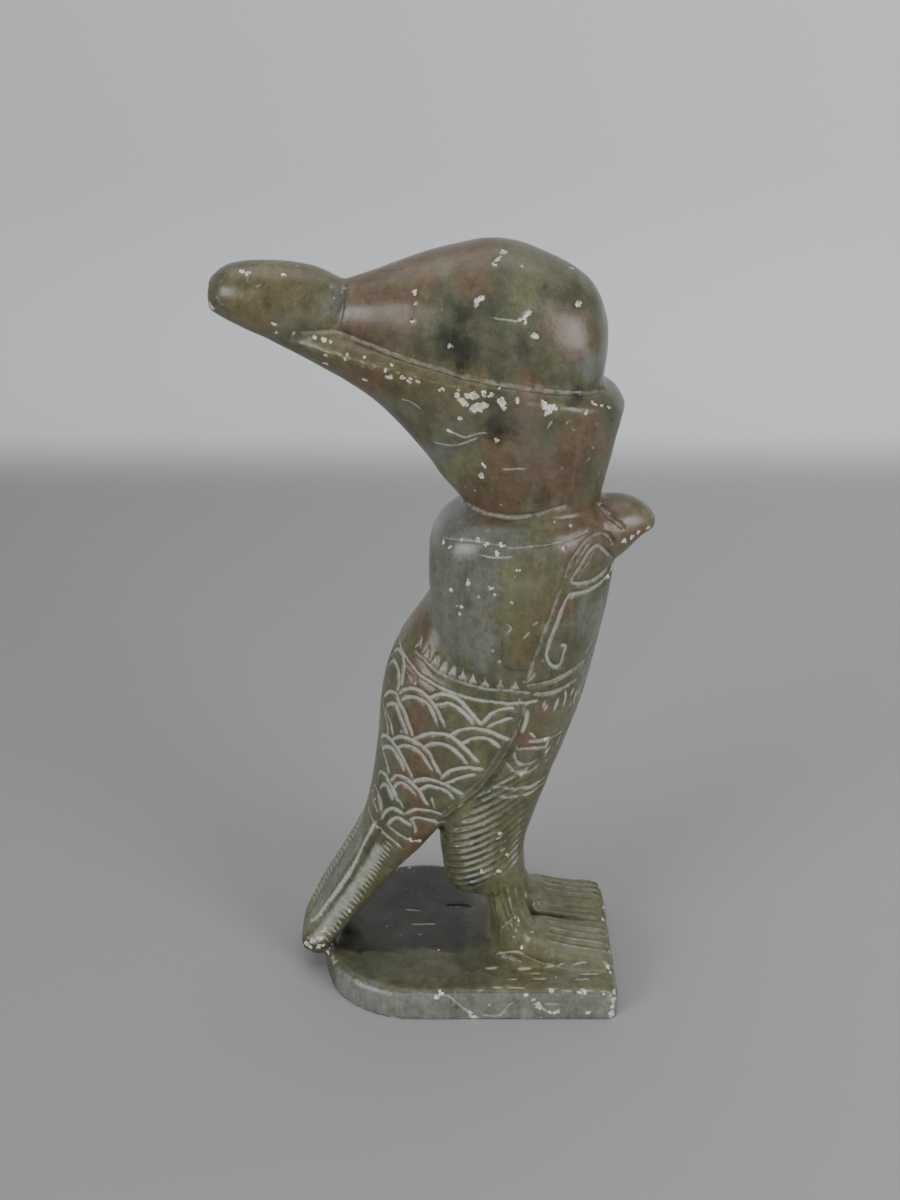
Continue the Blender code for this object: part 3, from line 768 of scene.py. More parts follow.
# %% Joins between the forms: the crown's foot, its lip, the knob's neck
LIP_JOIN = [
    (-42.9, 190), (-38.7, 190.2), (-34.8, 190.3), (-31.4, 189.6), (-27.9, 188.4), (-21.9, 186.5),
    (-17.9, 185.3), (-12.4, 184), (-8, 183), (-2.8, 181.7), (1.9, 180.8), (6.5, 179.9), (11.7, 179),
    (18.5, 177.8), (25.6, 176.6), (33.6, 175.7),
]
KNOB_JOIN = [(-32.2, 201.6), (-32.3, 199), (-32.5, 196.1), (-33.1, 193.3), (-34, 190.8)]
NECK_JOIN = [
    (-1.6, 143.6), (2.4, 143), (6.3, 142.8), (10.7, 142.6), (14.8, 143.1), (17.9, 143.7), (21.8, 144.9),
    (25.5, 145.4),
]
WING_JOIN = [
    (16.8, 91), (14.6, 82.6), (12, 76.2), (8.2, 68.8), (4.6, 63.2), (0.6, 59), (-4.1, 53.6), (-8.6, 48.2),
]
carve(LIP_JOIN, from_side, 1.0, 0.45, 0.36)
carve(KNOB_JOIN, from_side, 1.0, 0.4, 0.26)
carve(NECK_JOIN, from_side, 1.0, 0.5, 0.4)
carve(WING_JOIN, from_side, 0.9, 0.5, 0.0)
# The pale lines along the wing's rolled edge are partly chalk and partly a painted highlight.
carve(moved(WING_JOIN, -1.5, 0.9), from_side, 0.7, -0.35, 0.3)
carve(moved(WING_JOIN[1:], -3.2, 1.6), from_side, 0.6, 0.3, 0.3)

# %% Scratches and tool marks
SIDE_SCRATCHES = [
    [(-10.1, 162.3), (-6.8, 162.2), (-4.2, 162.4), (-1, 164), (1.5, 165.4)],
    [(-6.8, 166.7), (-4.2, 165.9), (-1.7, 165.1), (1.5, 166.6), (3.8, 167.1)],
    [(4.5, 195.9), (6.6, 195.5), (8.5, 195.3), (10.5, 195), (12, 195.2)], [(18.9, 168.9), (20, 171.4)],
    [(23.1, 169.5), (24.1, 170.8)], [(29.5, 158.2), (30.2, 159.5)],
    [(7.7, 156.7), (11, 157.1), (14.3, 157.3)], [(-18.1, 174.2), (-15.5, 173.8), (-13, 172.1)],
    [(9.7, 112), (10.7, 113.8), (9.6, 115)], [(13.7, 110.5), (16, 112.9)], [(16.5, 114.3), (18.4, 115.7)],
    [(-53.6, 201.2), (-51.8, 202)], [(-55.6, 202.3), (-55.2, 203.6)],
    [(1.8, 134.2), (6.2, 133.7), (11.1, 134)], [(31.5, 101.9), (33, 103.7), (33.8, 105.1)],
]
PLINTH_DASHES = [[(5.3, 20.6), (8.7, 20.2)], [(14.9, 21), (18.8, 20.7)]]
WALL_CRACKS = [
    [(-9.3, -1.4), (-6.4, -1.2), (-4.4, -2.4), (-2, -4.6), (0.2, -6.6), (1.2, -8.2)],
    [(3.4, -7.2), (6, -7.6), (8.6, -7.6), (10.4, -6.2), (11.6, -4.4), (13.4, -3)],
    [(18.6, -3.4), (21, -4.6), (23.4, -6.2), (25.6, -6.6)], [(22, -3.6), (27, -3.6)],
    [(-3.6, -8.3), (1.2, -8.4), (5.6, -8.2)],
]
PLINTH_LINES = [
    [(23, 20.5), (25.8, 20.3)], [(26.8, 20.4), (29.1, 20.3)], [(30.9, 20.5), (36, 20.3)],
    [(2.4, 29.9), (4.6, 29.8)], [(6.8, 28.9), (10.2, 28.8)], [(11.4, 28.9), (16.8, 29.1)],
    [(23.7, 29.2), (26.2, 29.5)], [(27.4, 29.7), (30.6, 30)], [(33, 29.9), (37.2, 29.8)],
    [(38.4, 29.9), (42.2, 30.2)], [(12, 25.4), (15, 25.3)], [(19, 25.2), (23.4, 25.1)],
    [(31, 25.3), (36.4, 25.2)], [(18, 22.9), (21.6, 22.9)], [(33, 23), (39, 23.1)], [(9, 14.6), (12, 14.4)],
]
for lines, thrower, half_width, depth, chalk in (
    (SIDE_SCRATCHES, from_side, 0.42, 0.12, 0.7),
    (WALL_CRACKS, from_side, 0.5, 0.2, 0.6),
    (PLINTH_LINES, from_above, 0.5, 0.15, 0.75),
    (PLINTH_DASHES, from_above, 0.8, 0.3, 0.9),
):
    for line in lines:
        carve(line, thrower, half_width, depth, chalk, sides=(-1,))
# Two pale streaks on the back of the plinth's top: partly scratches, partly painted glints on its gloss.
carve([(-17.8, 0.3), (-9.6, 0.3)], from_above, 0.42, 0.1, 0.95, sides=(1,))
carve([(-19.9, 7.8), (-14.4, 6.8)], from_above, 0.42, 0.1, 0.85, sides=(1,))
carve([(-6.6, 9.4), (-2, 9.8), (1.6, 9)], from_above, 0.8, 0.6, 0.3, sides=(1,))
print("strokes in all:", len(strokes))

# %% [markdown]
# ## Chips
# Soapstone bruises pale where it is knocked: on the crown's lip, the knob, the plinth's edges and the
# tail's tip. Each chip is a few dots around its place, so that it isn't round, and it is pressed in as
# the strokes are. The places are (forward, up, size in mm).

# %% Chips
random.seed(SEED)
CHIPS = [
    (-14, 200.7, 1.0), (1.3, 199.7, 1.5), (12.9, 196.3, 1.3), (12.2, 195.1, 1.0), (26.1, 198.3, 1.4),
    (-5.5, 188.8, 0.8), (24.7, 205.1, 1.0), (15.2, 191.7, 1.1), (5.2, 207.8, 1.0), (6.2, 208.7, 0.9),
    (7.7, 209.5, 1.1), (-57, 204.4, 0.9), (-55.4, 204.3, 0.9), (-46.5, 203.9, 0.9), (-65.6, 195.6, 1.5),
    (-31.9, 200.6, 0.6), (-14, 198.2, 0.6), (-14.8, 194.1, 0.6), (-49.3, 192.1, 0.8), (-49.2, 189.9, 0.7),
    (-44.5, 189.7, 0.7), (-39.2, 188.7, 0.8), (-37.2, 188.4, 1.0), (-35.2, 188.2, 0.7), (-36.7, 184.9, 1.0),
    (-37.1, 181.8, 1.0), (-31.4, 184.9, 1.0), (-26.6, 185.1, 0.6), (-20.1, 183.8, 0.6), (-21.6, 182.2, 0.7),
    (-20.6, 180.3, 1.2), (-26.9, 178.6, 0.9), (-17.4, 180.6, 0.9), (-15.6, 180.2, 1.0), (-13.4, 180.2, 0.9),
    (-7.7, 178.2, 0.7), (-3.8, 176.9, 1.3), (-0.6, 176.6, 1.6), (0.9, 176.9, 1.5), (2.8, 177.9, 1.1),
    (4.6, 177.7, 1.0), (-2.3, 175.1, 1.5), (-0.1, 173.6, 1.5), (1.4, 174, 1.3), (3.1, 174.7, 1.0),
    (6.3, 179, 0.6), (6.8, 175.9, 1.2), (8.3, 175.2, 1.6), (11.4, 176.3, 0.9), (17.9, 175.1, 1.3),
    (18.7, 173.3, 1.1), (20.2, 173.7, 1.5), (28.3, 172.5, 0.8), (30.5, 173.9, 0.9), (32.6, 173.1, 0.7),
    (34.5, 172.5, 0.8), (-3.3, 170.5, 1.1), (-5.8, 166.6, 0.8), (3.2, 157.5, 0.9), (2.5, 154.4, 0.9),
    (6.3, 165, 0.7), (-7.3, 135.2, 1.0), (-2.6, 137, 0.7), (1.5, 137.5, 1.0), (3.9, 136.8, 0.8),
    (8, 137, 0.9), (6.7, 134.9, 0.8), (-5.5, 134.7, 0.6), (-5.2, 123.1, 1.1), (-0.5, 126.3, 1.0),
    (5.2, 125.3, 0.8), (6.1, 123.3, 0.6), (-2.6, 119, 0.7), (-3.6, 119.1, 0.4), (-2.8, 116.9, 0.6),
    (12.2, 130.4, 0.6), (11.5, 128.5, 0.5), (23.9, 135.8, 0.6), (39, 125.7, 1.7), (38.6, 125, 1.6),
    (37.6, 123.4, 1.2), (15.3, 67.3, 1.3), (21.5, 78.2, 1.0), (21.6, 73.9, 0.9), (-2.1, 56.6, 1.1),
    (8.9, 47.5, 0.8), (9.8, 41.1, 0.8), (11.3, 38.9, 0.7), (8.8, 33.6, 1.0), (4.1, 33.9, 0.8),
    (13.4, 49.2, 0.5), (-17.1, 43.4, 1.2), (-14.8, 42.9, 1.1), (-36, 14.4, 1.0), (-47.5, 2.3, 1.6),
    (-49.1, 0.6, 1.5), (-45.3, 3.7, 1.2), (-44.2, 6.9, 1.3), (-43.3, -1.8, 1.0), (-46.1, 0.2, 1.1),
    (-44.2, 0.6, 0.9), (44, -0.9, 0.9), (43.6, -3.4, 1.0), (42.6, -2.8, 1.3), (42.3, -5.1, 1.2),
    (41.8, -7.6, 1.5), (18.9, -2.4, 0.7), (21, -4.3, 1.3), (24, -6.2, 1.1), (25.8, -6.2, 1.1),
    (35.2, -6.6, 0.9), (39.7, -1, 0.7), (1.3, -8.2, 1.6), (0.2, -7, 1.0), (-9.5, -1.4, 1.0),
    (-8, -0.8, 0.9), (16.2, 5.7, 0.8), (15.2, 14.4, 0.7), (41.3, 133.9, 0.9), (43.3, 134.6, 0.9),
    (45.4, 135.3, 1.0), (48, 136.2, 0.9),
]
TOP_CHIPS = [
    (42, 20.6, 0.9), (44, 18.9, 0.8), (42.4, 21.7, 0.9), (43.2, 29.6, 1.2), (24.5, 29.8, 1.1),
    (32.7, 30.4, 0.9), (33.9, 29.9, 1.0), (16.8, 31, 0.8), (26.1, 24.4, 0.6), (7.7, 10.3, 0.8),
    (-8.9, 12.1, 0.5), (43.9, 12.2, 0.8), (44, -10.2, 1.1), (43.9, -4, 0.8), (44, 4, 0.7),
]


CHIP_DOTS = 4
CHIP_SPREAD = 0.6
DOT_SIZES = (0.42, 0.8)
CHIP_DEPTH = 0.12


def chip(centre, size):
    """A ragged shallow chip: dots of unlike sizes around a place on the stone."""
    for dot in range(CHIP_DOTS):
        reach = Vector([random.uniform(-1, 1) for axis in range(3)]) * size * CHIP_SPREAD * MM
        near = stone_tree.find_nearest(centre + reach)[0]
        depth = CHIP_DEPTH + CHIP_DEPTH * size
        strokes.append(([near], size * random.uniform(*DOT_SIZES), depth, 1.0))


for forward, up, size in CHIPS:
    place = from_side((forward, up), -1)
    if place is not None:
        chip(place, size)
for forward, across, size in TOP_CHIPS:
    place = from_above((forward, across), -1)
    if place is not None:
        chip(place, size)

# %% Chips on the sides that were not seen
HIDDEN_CHIPS = 46
CROWN_FROM = 170
PLINTH_TO = 8
EDGE_PLACES = [(forward, up) for forward, up, size in CHIPS if up > CROWN_FROM or up < PLINTH_TO]
for count in range(HIDDEN_CHIPS):
    forward, up = random.choice(EDGE_PLACES)
    place = from_side((forward + random.uniform(-5, 5), up + random.uniform(-1, 1)), 1)
    if place is not None:
        chip(place, random.uniform(0.5, 1.2))
print("strokes and chip dots:", len(strokes))

# %% [markdown]
# ## Cutting the strokes
# The skin's squares are nearly a millimetre wide, too coarse for a line of that width. So the faces near
# the strokes are divided again, and only those, which keeps the piece light. Each stroke's points then
# find the skin's points near them and write how deep those are pressed, as the weight of a vertex group.
# A Displace modifier presses the group in. The same pass writes where the pale dust lies, which on some
# raised ridges is a painted highlight.

# %% Finer squares near the strokes
STROKE_MARGIN = 0.45
CUTS = 2


def points_of(thing):
    """The places of an object's points, one row each."""
    flat = np.empty(len(thing.data.vertices) * 3)
    thing.data.vertices.foreach_get("co", flat)
    return flat.reshape(-1, 3)


def tree_of(points):
    """A tree that finds the points near a place."""
    tree = KDTree(len(points))
    for index, place in enumerate(points):
        tree.insert(place, index)
    tree.balance()
    return tree


def divide_near_strokes(cuts, margin):
    """Divides the faces that touch a stroke, or lie within a margin of it."""
    tree = tree_of(points_of(stone))
    near = np.zeros(len(stone.data.vertices), bool)
    for places, half_width, depth, chalk in strokes:
        for place in places:
            for found in tree.find_range(place, (half_width + margin) * MM):
                near[found[1]] = True
    choose(stone)
    bpy.ops.object.mode_set(mode="EDIT")
    bpy.ops.mesh.select_mode(type="FACE")
    bpy.ops.mesh.select_all(action="DESELECT")
    bpy.ops.object.mode_set(mode="OBJECT")
    chosen = [any(near[i] for i in face.vertices) for face in stone.data.polygons]
    stone.data.polygons.foreach_set("select", chosen)
    bpy.ops.object.mode_set(mode="EDIT")
    bpy.ops.mesh.subdivide(number_cuts=cuts)
    bpy.ops.object.mode_set(mode="OBJECT")


divide_near_strokes(CUTS, STROKE_MARGIN)
print("divided skin:", len(stone.data.polygons), "faces")

# %% Depth, dust and bruises at each point
STROKE_END = 2.2
skin = points_of(stone)
deep = np.zeros(len(skin))
high = np.zeros(len(skin))
dust_and_highlight = np.zeros(len(skin))
bruise = np.zeros(len(skin))
skin_tree = tree_of(skin)
for places, half_width, depth, chalk in strokes:
    last = len(places) - 1
    for number, place in enumerate(places):
        end = min(number, last - number) * STROKE_POINT_GAP
        taper = min(1.0, 0.5 + end / STROKE_END) if last else 1.0
        reach = half_width * MM * (0.6 + 0.4 * taper)
        for co, index, distance in skin_tree.find_range(place, reach):
            share = 1 - (distance / reach) ** 2
            if depth > 0:
                deep[index] = max(deep[index], depth * taper * share**1.3)
            else:
                high[index] = max(high[index], -depth * taper * share)
            if last:
                dust_and_highlight[index] = max(dust_and_highlight[index], chalk * taper * share)
            else:
                bruise[index] = max(bruise[index], min(1.0, 1.6 * share))

# %% Press the strokes in, and raise the ridges
for name, amounts, inwards in (("carved", deep, -1), ("raised", high, 1)):
    group = stone.vertex_groups.new(name=name)
    most = amounts.max()
    for index in np.nonzero(amounts)[0]:
        group.add([int(index)], amounts[index] / most, "REPLACE")
    press = stone.modifiers.new(name, "DISPLACE")
    press.vertex_group = name
    press.direction = "NORMAL"
    press.mid_level = 0.0
    press.strength = inwards * most * MM
    print(name, "points:", int((amounts > 0).sum()), "most:", round(float(most), 2), "mm")
settle = stone.modifiers.new("settled", "SMOOTH")
settle.factor = 0.35
settle.iterations = 1
apply_modifiers(stone)

# %% [markdown]
# ## Unevenness of hand work
# A rubbed stone is never quite even. Two soft cloud patterns move the skin a few tenths of a millimetre,
# one broad as a hand's pressure and one small as a rasp's marks.

# %% Uneven skin
for name, size, strength in (("broad", 17, 0.5), ("small", 4.5, 0.16)):
    clouds = bpy.data.textures.new(name, "CLOUDS")
    clouds.noise_scale = size * MM
    clouds.noise_depth = 1
    uneven = stone.modifiers.new(name, "DISPLACE")
    uneven.texture = clouds
    uneven.texture_coords = "LOCAL"
    uneven.mid_level = 0.55
    uneven.strength = strength * MM
apply_modifiers(stone)

# %% Flat underside
RESTS_UNDER = 0.35 * MM
skin = points_of(stone)
skin[:, 2] = np.where(skin[:, 2] < RESTS_UNDER, 0, skin[:, 2])
stone.data.vertices.foreach_set("co", skin.ravel())
stone.data.update()

# %% [markdown]
# ## Edges that wear
# A stone wears pale where it sticks out. Each point's place is set against the average of its neighbours
# and theirs, and how far it stands above that is kept for the finish. This is measured on the fine skin,
# before it is made lighter, because the points are evenly spread there.

# %% Edges that stick out
AVERAGING_STEPS = 3
ends = np.empty(len(stone.data.edges) * 2, int)
stone.data.edges.foreach_get("vertices", ends)
ends = ends.reshape(-1, 2)
normals = np.array([vertex.normal for vertex in stone.data.vertices])
count = np.bincount(ends.ravel(), minlength=len(skin))
smooth = skin.copy()
for step in range(AVERAGING_STEPS):
    total = np.zeros_like(smooth)
    for axis in range(3):
        total[:, axis] += np.bincount(ends[:, 0], smooth[ends[:, 1], axis], len(skin))
        total[:, axis] += np.bincount(ends[:, 1], smooth[ends[:, 0], axis], len(skin))
    smooth = total / count[:, None]
stands_out = ((skin - smooth) * normals).sum(1) / MM
print("points that stand out:", int((stands_out > 0.1).sum()))

# %% [markdown]
# ## A lighter mesh
# The strokes need small triangles, but the smooth stone between them doesn't. A Decimate modifier joins
# those that lie flat and keeps the small ones in the strokes. Coarser squares from the start would save
# the step, and blur every line. Each point left takes its marks from the nearest point of the fine skin.

# %% Fewer triangles
MOST_TRIANGLES = 192000
triangles = sum(len(face.vertices) - 2 for face in stone.data.polygons)
print("before:", triangles, "triangles")
fine_tree = tree_of(skin)
fewer = stone.modifiers.new("fewer", "DECIMATE")
fewer.ratio = min(1.0, MOST_TRIANGLES / triangles)
apply_modifiers(stone)
bpy.ops.object.shade_smooth()
skin = points_of(stone)
nearest = np.array([fine_tree.find(place)[1] for place in skin])
dust_and_highlight, bruise, stands_out = dust_and_highlight[nearest], bruise[nearest], stands_out[nearest]
print("carved stone:", sum(len(face.vertices) - 2 for face in stone.data.polygons), "triangles")

# %% [markdown]
# ## Marks for the finish
# The stone's colours lie in patches: a brown vein down the wing, brown on the crown and round the beak,
# a cool grey on the neck. Near black patches on the crown, in the creases under the thighs and on the
# back of the plinth's top are partly dark stone and partly painted shade. These are stored on the skin's
# points, as if brushed on, and the material breaks their edges up with noise. An image would need a flat
# map of the whole figure.

# %% Brushed patches
BROAD_WANDER, BROAD_REACH = 15, 4
FINE_WANDER, FINE_REACH = 4.5, 2.2
FULLY_WORN = 0.22
wandered = np.empty_like(skin)
for index, place in enumerate(skin):
    here = Vector(place) / MM
    shift = noise.noise_vector(here / BROAD_WANDER) * BROAD_REACH
    shift += noise.noise_vector(here / FINE_WANDER) * FINE_REACH
    wandered[index] = here + shift


def patches(centres):
    """A soft mask from (forward, up, radius) centres, with ragged edges. Radius is in mm."""
    mask = np.zeros(len(skin))
    for forward, up, radius in centres:
        away = np.hypot(wandered[:, 0] - forward, (wandered[:, 2] - PLINTH_TOP / MM - up) * 0.8)
        mask = np.maximum(mask, np.clip(1.2 - away / radius, 0, 1))
    return mask


def store(name, values):
    """Keeps one number for each point of the skin, for the material to read."""
    kept = stone.data.attributes.new(name, "FLOAT", "POINT")
    kept.data.foreach_set("value", np.asarray(values, np.float32))


BROWN = [
    (-20, 200, 13), (-14, 206, 9), (-26, 194, 9), (0, 210, 8), (24, 192, 8), (10, 158, 13), (22, 152, 13),
    (28, 166, 9), (4, 148, 8), (30, 140, 8), (36, 139, 8), (27, 134, 7), (19, 89, 4), (16, 80, 3.6),
    (-28, 178, 7), (23, 118, 4), (-60, 190, 6), (44, 134, 6), (12, 178, 7),
]
WING_VEIN = [(-14 - 0.02 * (76 - up), up, 4.4) for up in range(40, 112, 5)]
COOL = [
    (-2, 140, 11), (-8, 138, 9), (4, 138, 8), (-40, 30, 7), (-36, 38, 6), (-46, 14, 7), (-6, 134, 9),
    (-6, 124, 9), (-4, 112, 10), (4, 108, 9), (8, 136, 8), (-22, 192, 9), (-32, 194, 7), (2, 126, 8),
    (-8, 160, 7), (34, 112, 9), (34, 96, 8), (-44, 24, 10), (30, 184, 6),
]
OCHRE = [
    (-52, 198, 11), (-42, 202, 8), (-56, 190, 8), (-24, 182, 10), (-34, 187, 8), (44, 138, 9), (16, 114, 7),
    (18, 124, 6), (-4, 179, 8), (16, 104, 5), (18, -1, 8), (-16, 180, 8),
]
# Near black patches: partly dark stone, partly painted shade in the crown's joins and the hollows under the
# thighs.
DARK_STONE_AND_PAINTED_SHADE = [
    (-4, 188, 9), (-2, 196, 6), (6, 168, 7), (16, 146, 6), (2, 30, 6), (-4, 24, 5), (12, 188, 5),
    (26, 176, 5),
]
LEAF = [
    (11, 22, 12), (13, 10, 12), (24, 6, 12), (36, 3, 10), (8, 36, 9), (8, 118, 8), (10, 128, 7),
    (14, 2, 12), (-38, 20, 8), (-32, 30, 7), (-46, 8, 8), (2, 86, 9), (0, 70, 8), (-2, 58, 7), (12, 200, 7),
    (-2, 156, 6),
]
for name, centres in (("brown", BROWN + WING_VEIN), ("cool", COOL), ("ochre", OCHRE), ("leaf", LEAF)):
    store(name, patches(centres))
# The back of the plinth's top, under the tail and body, is made near black: partly dark stone, partly
# painted shade.
plinth_face = (skin[:, 2] > PLINTH_TOP - 0.9 * MM) * (skin[:, 2] < PLINTH_TOP + 1.6 * MM)
inner = np.clip((wandered[:, 1] + 15) / 7, 0, 1) * np.clip((4 - wandered[:, 0]) / 9, 0, 1)
store("dark_stone_and_painted_shade", np.maximum(0.68 * patches(DARK_STONE_AND_PAINTED_SHADE), 1.3 * plinth_face * inner))
store("dust_and_highlight", dust_and_highlight)
store("bruise", bruise)
store("edge", np.clip(stands_out / FULLY_WORN, 0, 1))
wall = (skin[:, 2] < PLINTH_TOP - 0.6 * MM) * np.clip((np.abs(skin[:, 1]) - 0.012) / 0.01, 0, 1)
store("wall", wall)

# %% [markdown]
# ## Soapstone
# Soapstone is a soft waxy stone. Its body here is olive to grey green, in clouds a few centimetres
# across, with brown iron stain and near black flecks. Hand rubbing leaves a low gloss. Fresh cuts and
# bruises are a pale chalky grey and have no gloss at all.
# The colours are mixed in layers, from the broad to the fine. The repeated step, a patch with a ragged
# edge, is a node group.

# %% Ragged patch group
ragged = bpy.data.node_groups.new("ragged patch", "ShaderNodeTree")
for name in ("Mask", "Noise", "Low", "High"):
    ragged.interface.new_socket(name=name, in_out="INPUT", socket_type="NodeSocketFloat")
ragged.interface.new_socket(name="Mask", in_out="OUTPUT", socket_type="NodeSocketFloat")
enter = ragged.nodes.new("NodeGroupInput")
leave = ragged.nodes.new("NodeGroupOutput")
ragged_sum = ragged.nodes.new("ShaderNodeMath")
ragged_sum.operation = "ADD"
ragged_step = ragged.nodes.new("ShaderNodeMapRange")
ragged_step.interpolation_type = "SMOOTHSTEP"
for start, end in (
    (enter.outputs["Mask"], ragged_sum.inputs[0]),
    (enter.outputs["Noise"], ragged_sum.inputs[1]),
    (ragged_sum.outputs["Value"], ragged_step.inputs["Value"]),
    (enter.outputs["Low"], ragged_step.inputs["From Min"]),
    (enter.outputs["High"], ragged_step.inputs["From Max"]),
    (ragged_step.outputs["Result"], leave.inputs["Mask"]),
):
    ragged.links.new(start, end)

# %% Helpers for nodes
soapstone = bpy.data.materials.new("soapstone")
soapstone.use_nodes = True
nodes = soapstone.node_tree.nodes
links = soapstone.node_tree.links
shader = nodes["Principled BSDF"]
place = nodes.new("ShaderNodeTexCoord").outputs["Object"]


def clouds_of(scale, detail=5.0, roughness=0.6, distortion=0.0, offset=(0, 0, 0), stretch=(1, 1, 1)):
    """A noise with a number of clouds to the metre, moved so that no two layers match."""
    moved = nodes.new("ShaderNodeMapping")
    moved.inputs["Location"].default_value = offset
    moved.inputs["Scale"].default_value = stretch
    links.new(place, moved.inputs["Vector"])
    made = nodes.new("ShaderNodeTexNoise")
    made.inputs["Scale"].default_value = scale
    made.inputs["Detail"].default_value = detail
    made.inputs["Roughness"].default_value = roughness
    made.inputs["Distortion"].default_value = distortion
    links.new(moved.outputs["Vector"], made.inputs["Vector"])
    return made.outputs["Fac"]


def stepped(value, low, high, top=1.0):
    """Values under low become 0 and those over high become top, with a soft step between."""
    made = nodes.new("ShaderNodeMapRange")
    made.interpolation_type = "SMOOTHSTEP"
    made.inputs["From Min"].default_value = low
    made.inputs["From Max"].default_value = high
    made.inputs["To Max"].default_value = top
    links.new(value, made.inputs["Value"])
    return made.outputs["Result"]


def patch(name, cloud, low, high):
    """A brushed mask of the skin whose edge is broken up by a cloud."""
    mask = nodes.new("ShaderNodeAttribute")
    mask.attribute_name = name
    made = nodes.new("ShaderNodeGroup")
    made.node_tree = ragged
    links.new(mask.outputs["Fac"], made.inputs["Mask"])
    links.new(cloud, made.inputs["Noise"])
    made.inputs["Low"].default_value = low
    made.inputs["High"].default_value = high
    return made.outputs["Mask"]


def sums(kind, first, second):
    """One sum of two values. Either may be a number."""
    made = nodes.new("ShaderNodeMath")
    made.operation = kind
    for socket, value in zip(made.inputs, (first, second)):
        if isinstance(value, (int, float)):
            socket.default_value = value
        else:
            links.new(value, socket)
    return made.outputs["Value"]


def times(first, second):
    """The product of two values. Either may be a number."""
    return sums("MULTIPLY", first, second)


def over(base, colour, mask, blend="MIX"):
    """A colour laid over another where a mask says. The mask may be a number."""
    made = nodes.new("ShaderNodeMix")
    made.data_type = "RGBA"
    made.blend_type = blend
    if isinstance(mask, float):
        made.inputs["Factor"].default_value = mask
    else:
        links.new(mask, made.inputs["Factor"])
    for socket, value in zip((made.inputs[MIX_FIRST], made.inputs[MIX_SECOND]), (base, colour)):
        if isinstance(value, tuple):
            socket.default_value = (*value, 1)
        else:
            links.new(value, socket)
    return made.outputs[MIX_RESULT]


# %% Layers of colour
OLIVE = (0.100, 0.096, 0.050)
MOSS = (0.064, 0.069, 0.038)
COOL_GREY = (0.118, 0.126, 0.104)
BROWN_STAIN = (0.110, 0.073, 0.041)
OCHRE_BROWN = (0.114, 0.093, 0.044)
LEAF_GREEN = (0.112, 0.118, 0.056)
NEAR_BLACK = (0.013, 0.015, 0.010)
WALL_GREY = (0.165, 0.180, 0.158)
LINE_DUST_AND_HIGHLIGHT = (0.41, 0.42, 0.37)
CHALK = (0.78, 0.75, 0.66)
OLD_CHALK = (0.36, 0.32, 0.26)
VEIL_GREY = (0.36, 0.37, 0.34)
broad = clouds_of(38, 6, 0.62, 0.8)
middle = clouds_of(120, 7, 0.65, 0.5, (3.1, 1.7, 0.4))
small = clouds_of(420, 6, 0.7, 0.2, (0.9, 5.2, 2.2))
grain = clouds_of(1500, 4, 0.7, 0.0, (2.4, 0.3, 6.1))
streaks = clouds_of(260, 5, 0.65, 0.3, (5, 1, 2), (1, 1, 0.22))
colour = over(MOSS, OLIVE, stepped(broad, 0.36, 0.62))
colour = over(colour, COOL_GREY, stepped(middle, 0.52, 0.74, 0.4))
stains = stepped(clouds_of(75, 7, 0.7, 1.6, (8, 2, 1)), 0.58, 0.68)
colour = over(colour, BROWN_STAIN, times(stains, 0.55))
for name, layer, high, strength in (
    ("leaf", LEAF_GREEN, 1.35, 0.85),
    ("cool", COOL_GREY, 1.35, 0.85),
    ("ochre", OCHRE_BROWN, 1.3, 0.85),
    ("brown", BROWN_STAIN, 1.25, 0.9),
):
    colour = over(colour, layer, times(patch(name, middle, 0.75, high), strength))
# Near black from the patches above: partly dark stone, partly painted shade.
dark_stone_and_painted_shade = patch("dark_stone_and_painted_shade", middle, 0.8, 1.35)
colour = over(colour, NEAR_BLACK, times(dark_stone_and_painted_shade, 0.85))
colour = over(colour, WALL_GREY, times(patch("wall", middle, 1.0, 1.7), 0.9))
colour = over(colour, NEAR_BLACK, stepped(clouds_of(95, 8, 0.72, 1.2, (4, 7, 3)), 0.58, 0.72, 0.6))
colour = over(colour, NEAR_BLACK, stepped(clouds_of(330, 6, 0.7, 0.8, (2, 2, 9)), 0.62, 0.74, 0.45))
for cloud, dark, strength in ((streaks, 0.1, 0.24), (small, 0.1, 0.22), (grain, 0.2, 0.20)):
    mottle = over((dark,) * 3, (1 - dark,) * 3, stepped(cloud, 0.3, 0.7))
    colour = over(colour, mottle, strength, "OVERLAY")

# %% Dust in the strokes and painted highlight on some ridges, chalk on edges and in bruises
veil = stepped(clouds_of(55, 5, 0.6, 0.6, (6, 6, 2)), 0.45, 0.75, 0.12)
colour = over(colour, VEIL_GREY, veil)
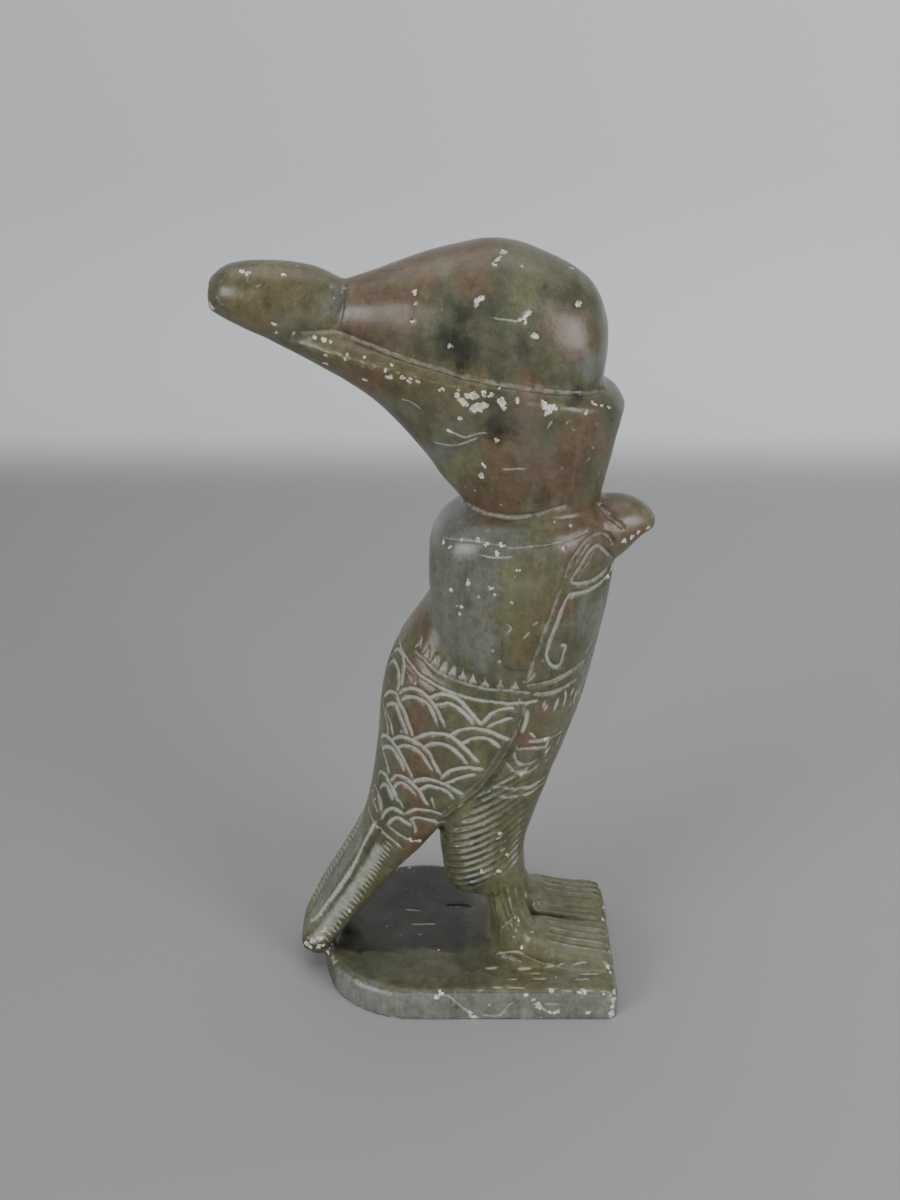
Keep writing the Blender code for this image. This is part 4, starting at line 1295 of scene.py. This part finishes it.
# Pale dust in the grooves; on the thighs' and toes' ridges and the wing's rolled edge the same pale is a
# painted highlight.
lines = times(patch("dust_and_highlight", times(small, 0.9), 0.55, 1.35), 0.9)
colour = over(colour, LINE_DUST_AND_HIGHLIGHT, lines)
bruises = patch("bruise", times(grain, 2.2), 1.52, 2.0)
worn_gate = stepped(clouds_of(340, 5, 0.7, 0.0, (3, 3, 7)), 0.52, 0.64)
worn = times(times(patch("edge", small, 0.9, 1.5), worn_gate), 0.6)
flecks = nodes.new("ShaderNodeTexVoronoi")
flecks.inputs["Scale"].default_value = 210
links.new(place, flecks.inputs["Vector"])
fleck_gate = stepped(clouds_of(60, 3, 0.6, 0.0, (1, 9, 4)), 0.5, 0.64)
fleck_dots = sums("SUBTRACT", 1.0, stepped(flecks.outputs["Distance"], 0.05, 0.14))
fleck_dust = times(times(fleck_dots, fleck_gate), 0.7)
pale = sums("MAXIMUM", sums("MAXIMUM", bruises, worn), fleck_dust)
chalk_grain = sums("ADD", times(small, 0.5), times(grain, 0.5))
chalk = over(OLD_CHALK, CHALK, stepped(chalk_grain, 0.4, 0.56))
colour = over(colour, chalk, times(pale, 0.9))
links.new(colour, shader.inputs["Base Color"])

# %% Gloss and fine relief
rough = sums("ADD", times(small, 0.24), 0.19)
rough = sums("ADD", rough, times(sums("MAXIMUM", pale, lines), 0.38))
rough = sums("SUBTRACT", rough, times(dark_stone_and_painted_shade, 0.10))
links.new(rough, shader.inputs["Roughness"])
shader.inputs["Specular IOR Level"].default_value = 0.5
relief = nodes.new("ShaderNodeBump")
relief.inputs["Strength"].default_value = 0.3
relief.inputs["Distance"].default_value = 0.25 * MM
height = sums("ADD", times(small, 0.8), times(grain, 0.35))
links.new(sums("SUBTRACT", height, times(pale, 0.4)), relief.inputs["Height"])
links.new(relief.outputs["Normal"], shader.inputs["Normal"])
stone.data.materials.clear()
stone.data.materials.append(soapstone)
print("soapstone nodes:", len(nodes))

# %% Stand for the solid
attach(stone, "root")
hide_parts("falcon_statue")
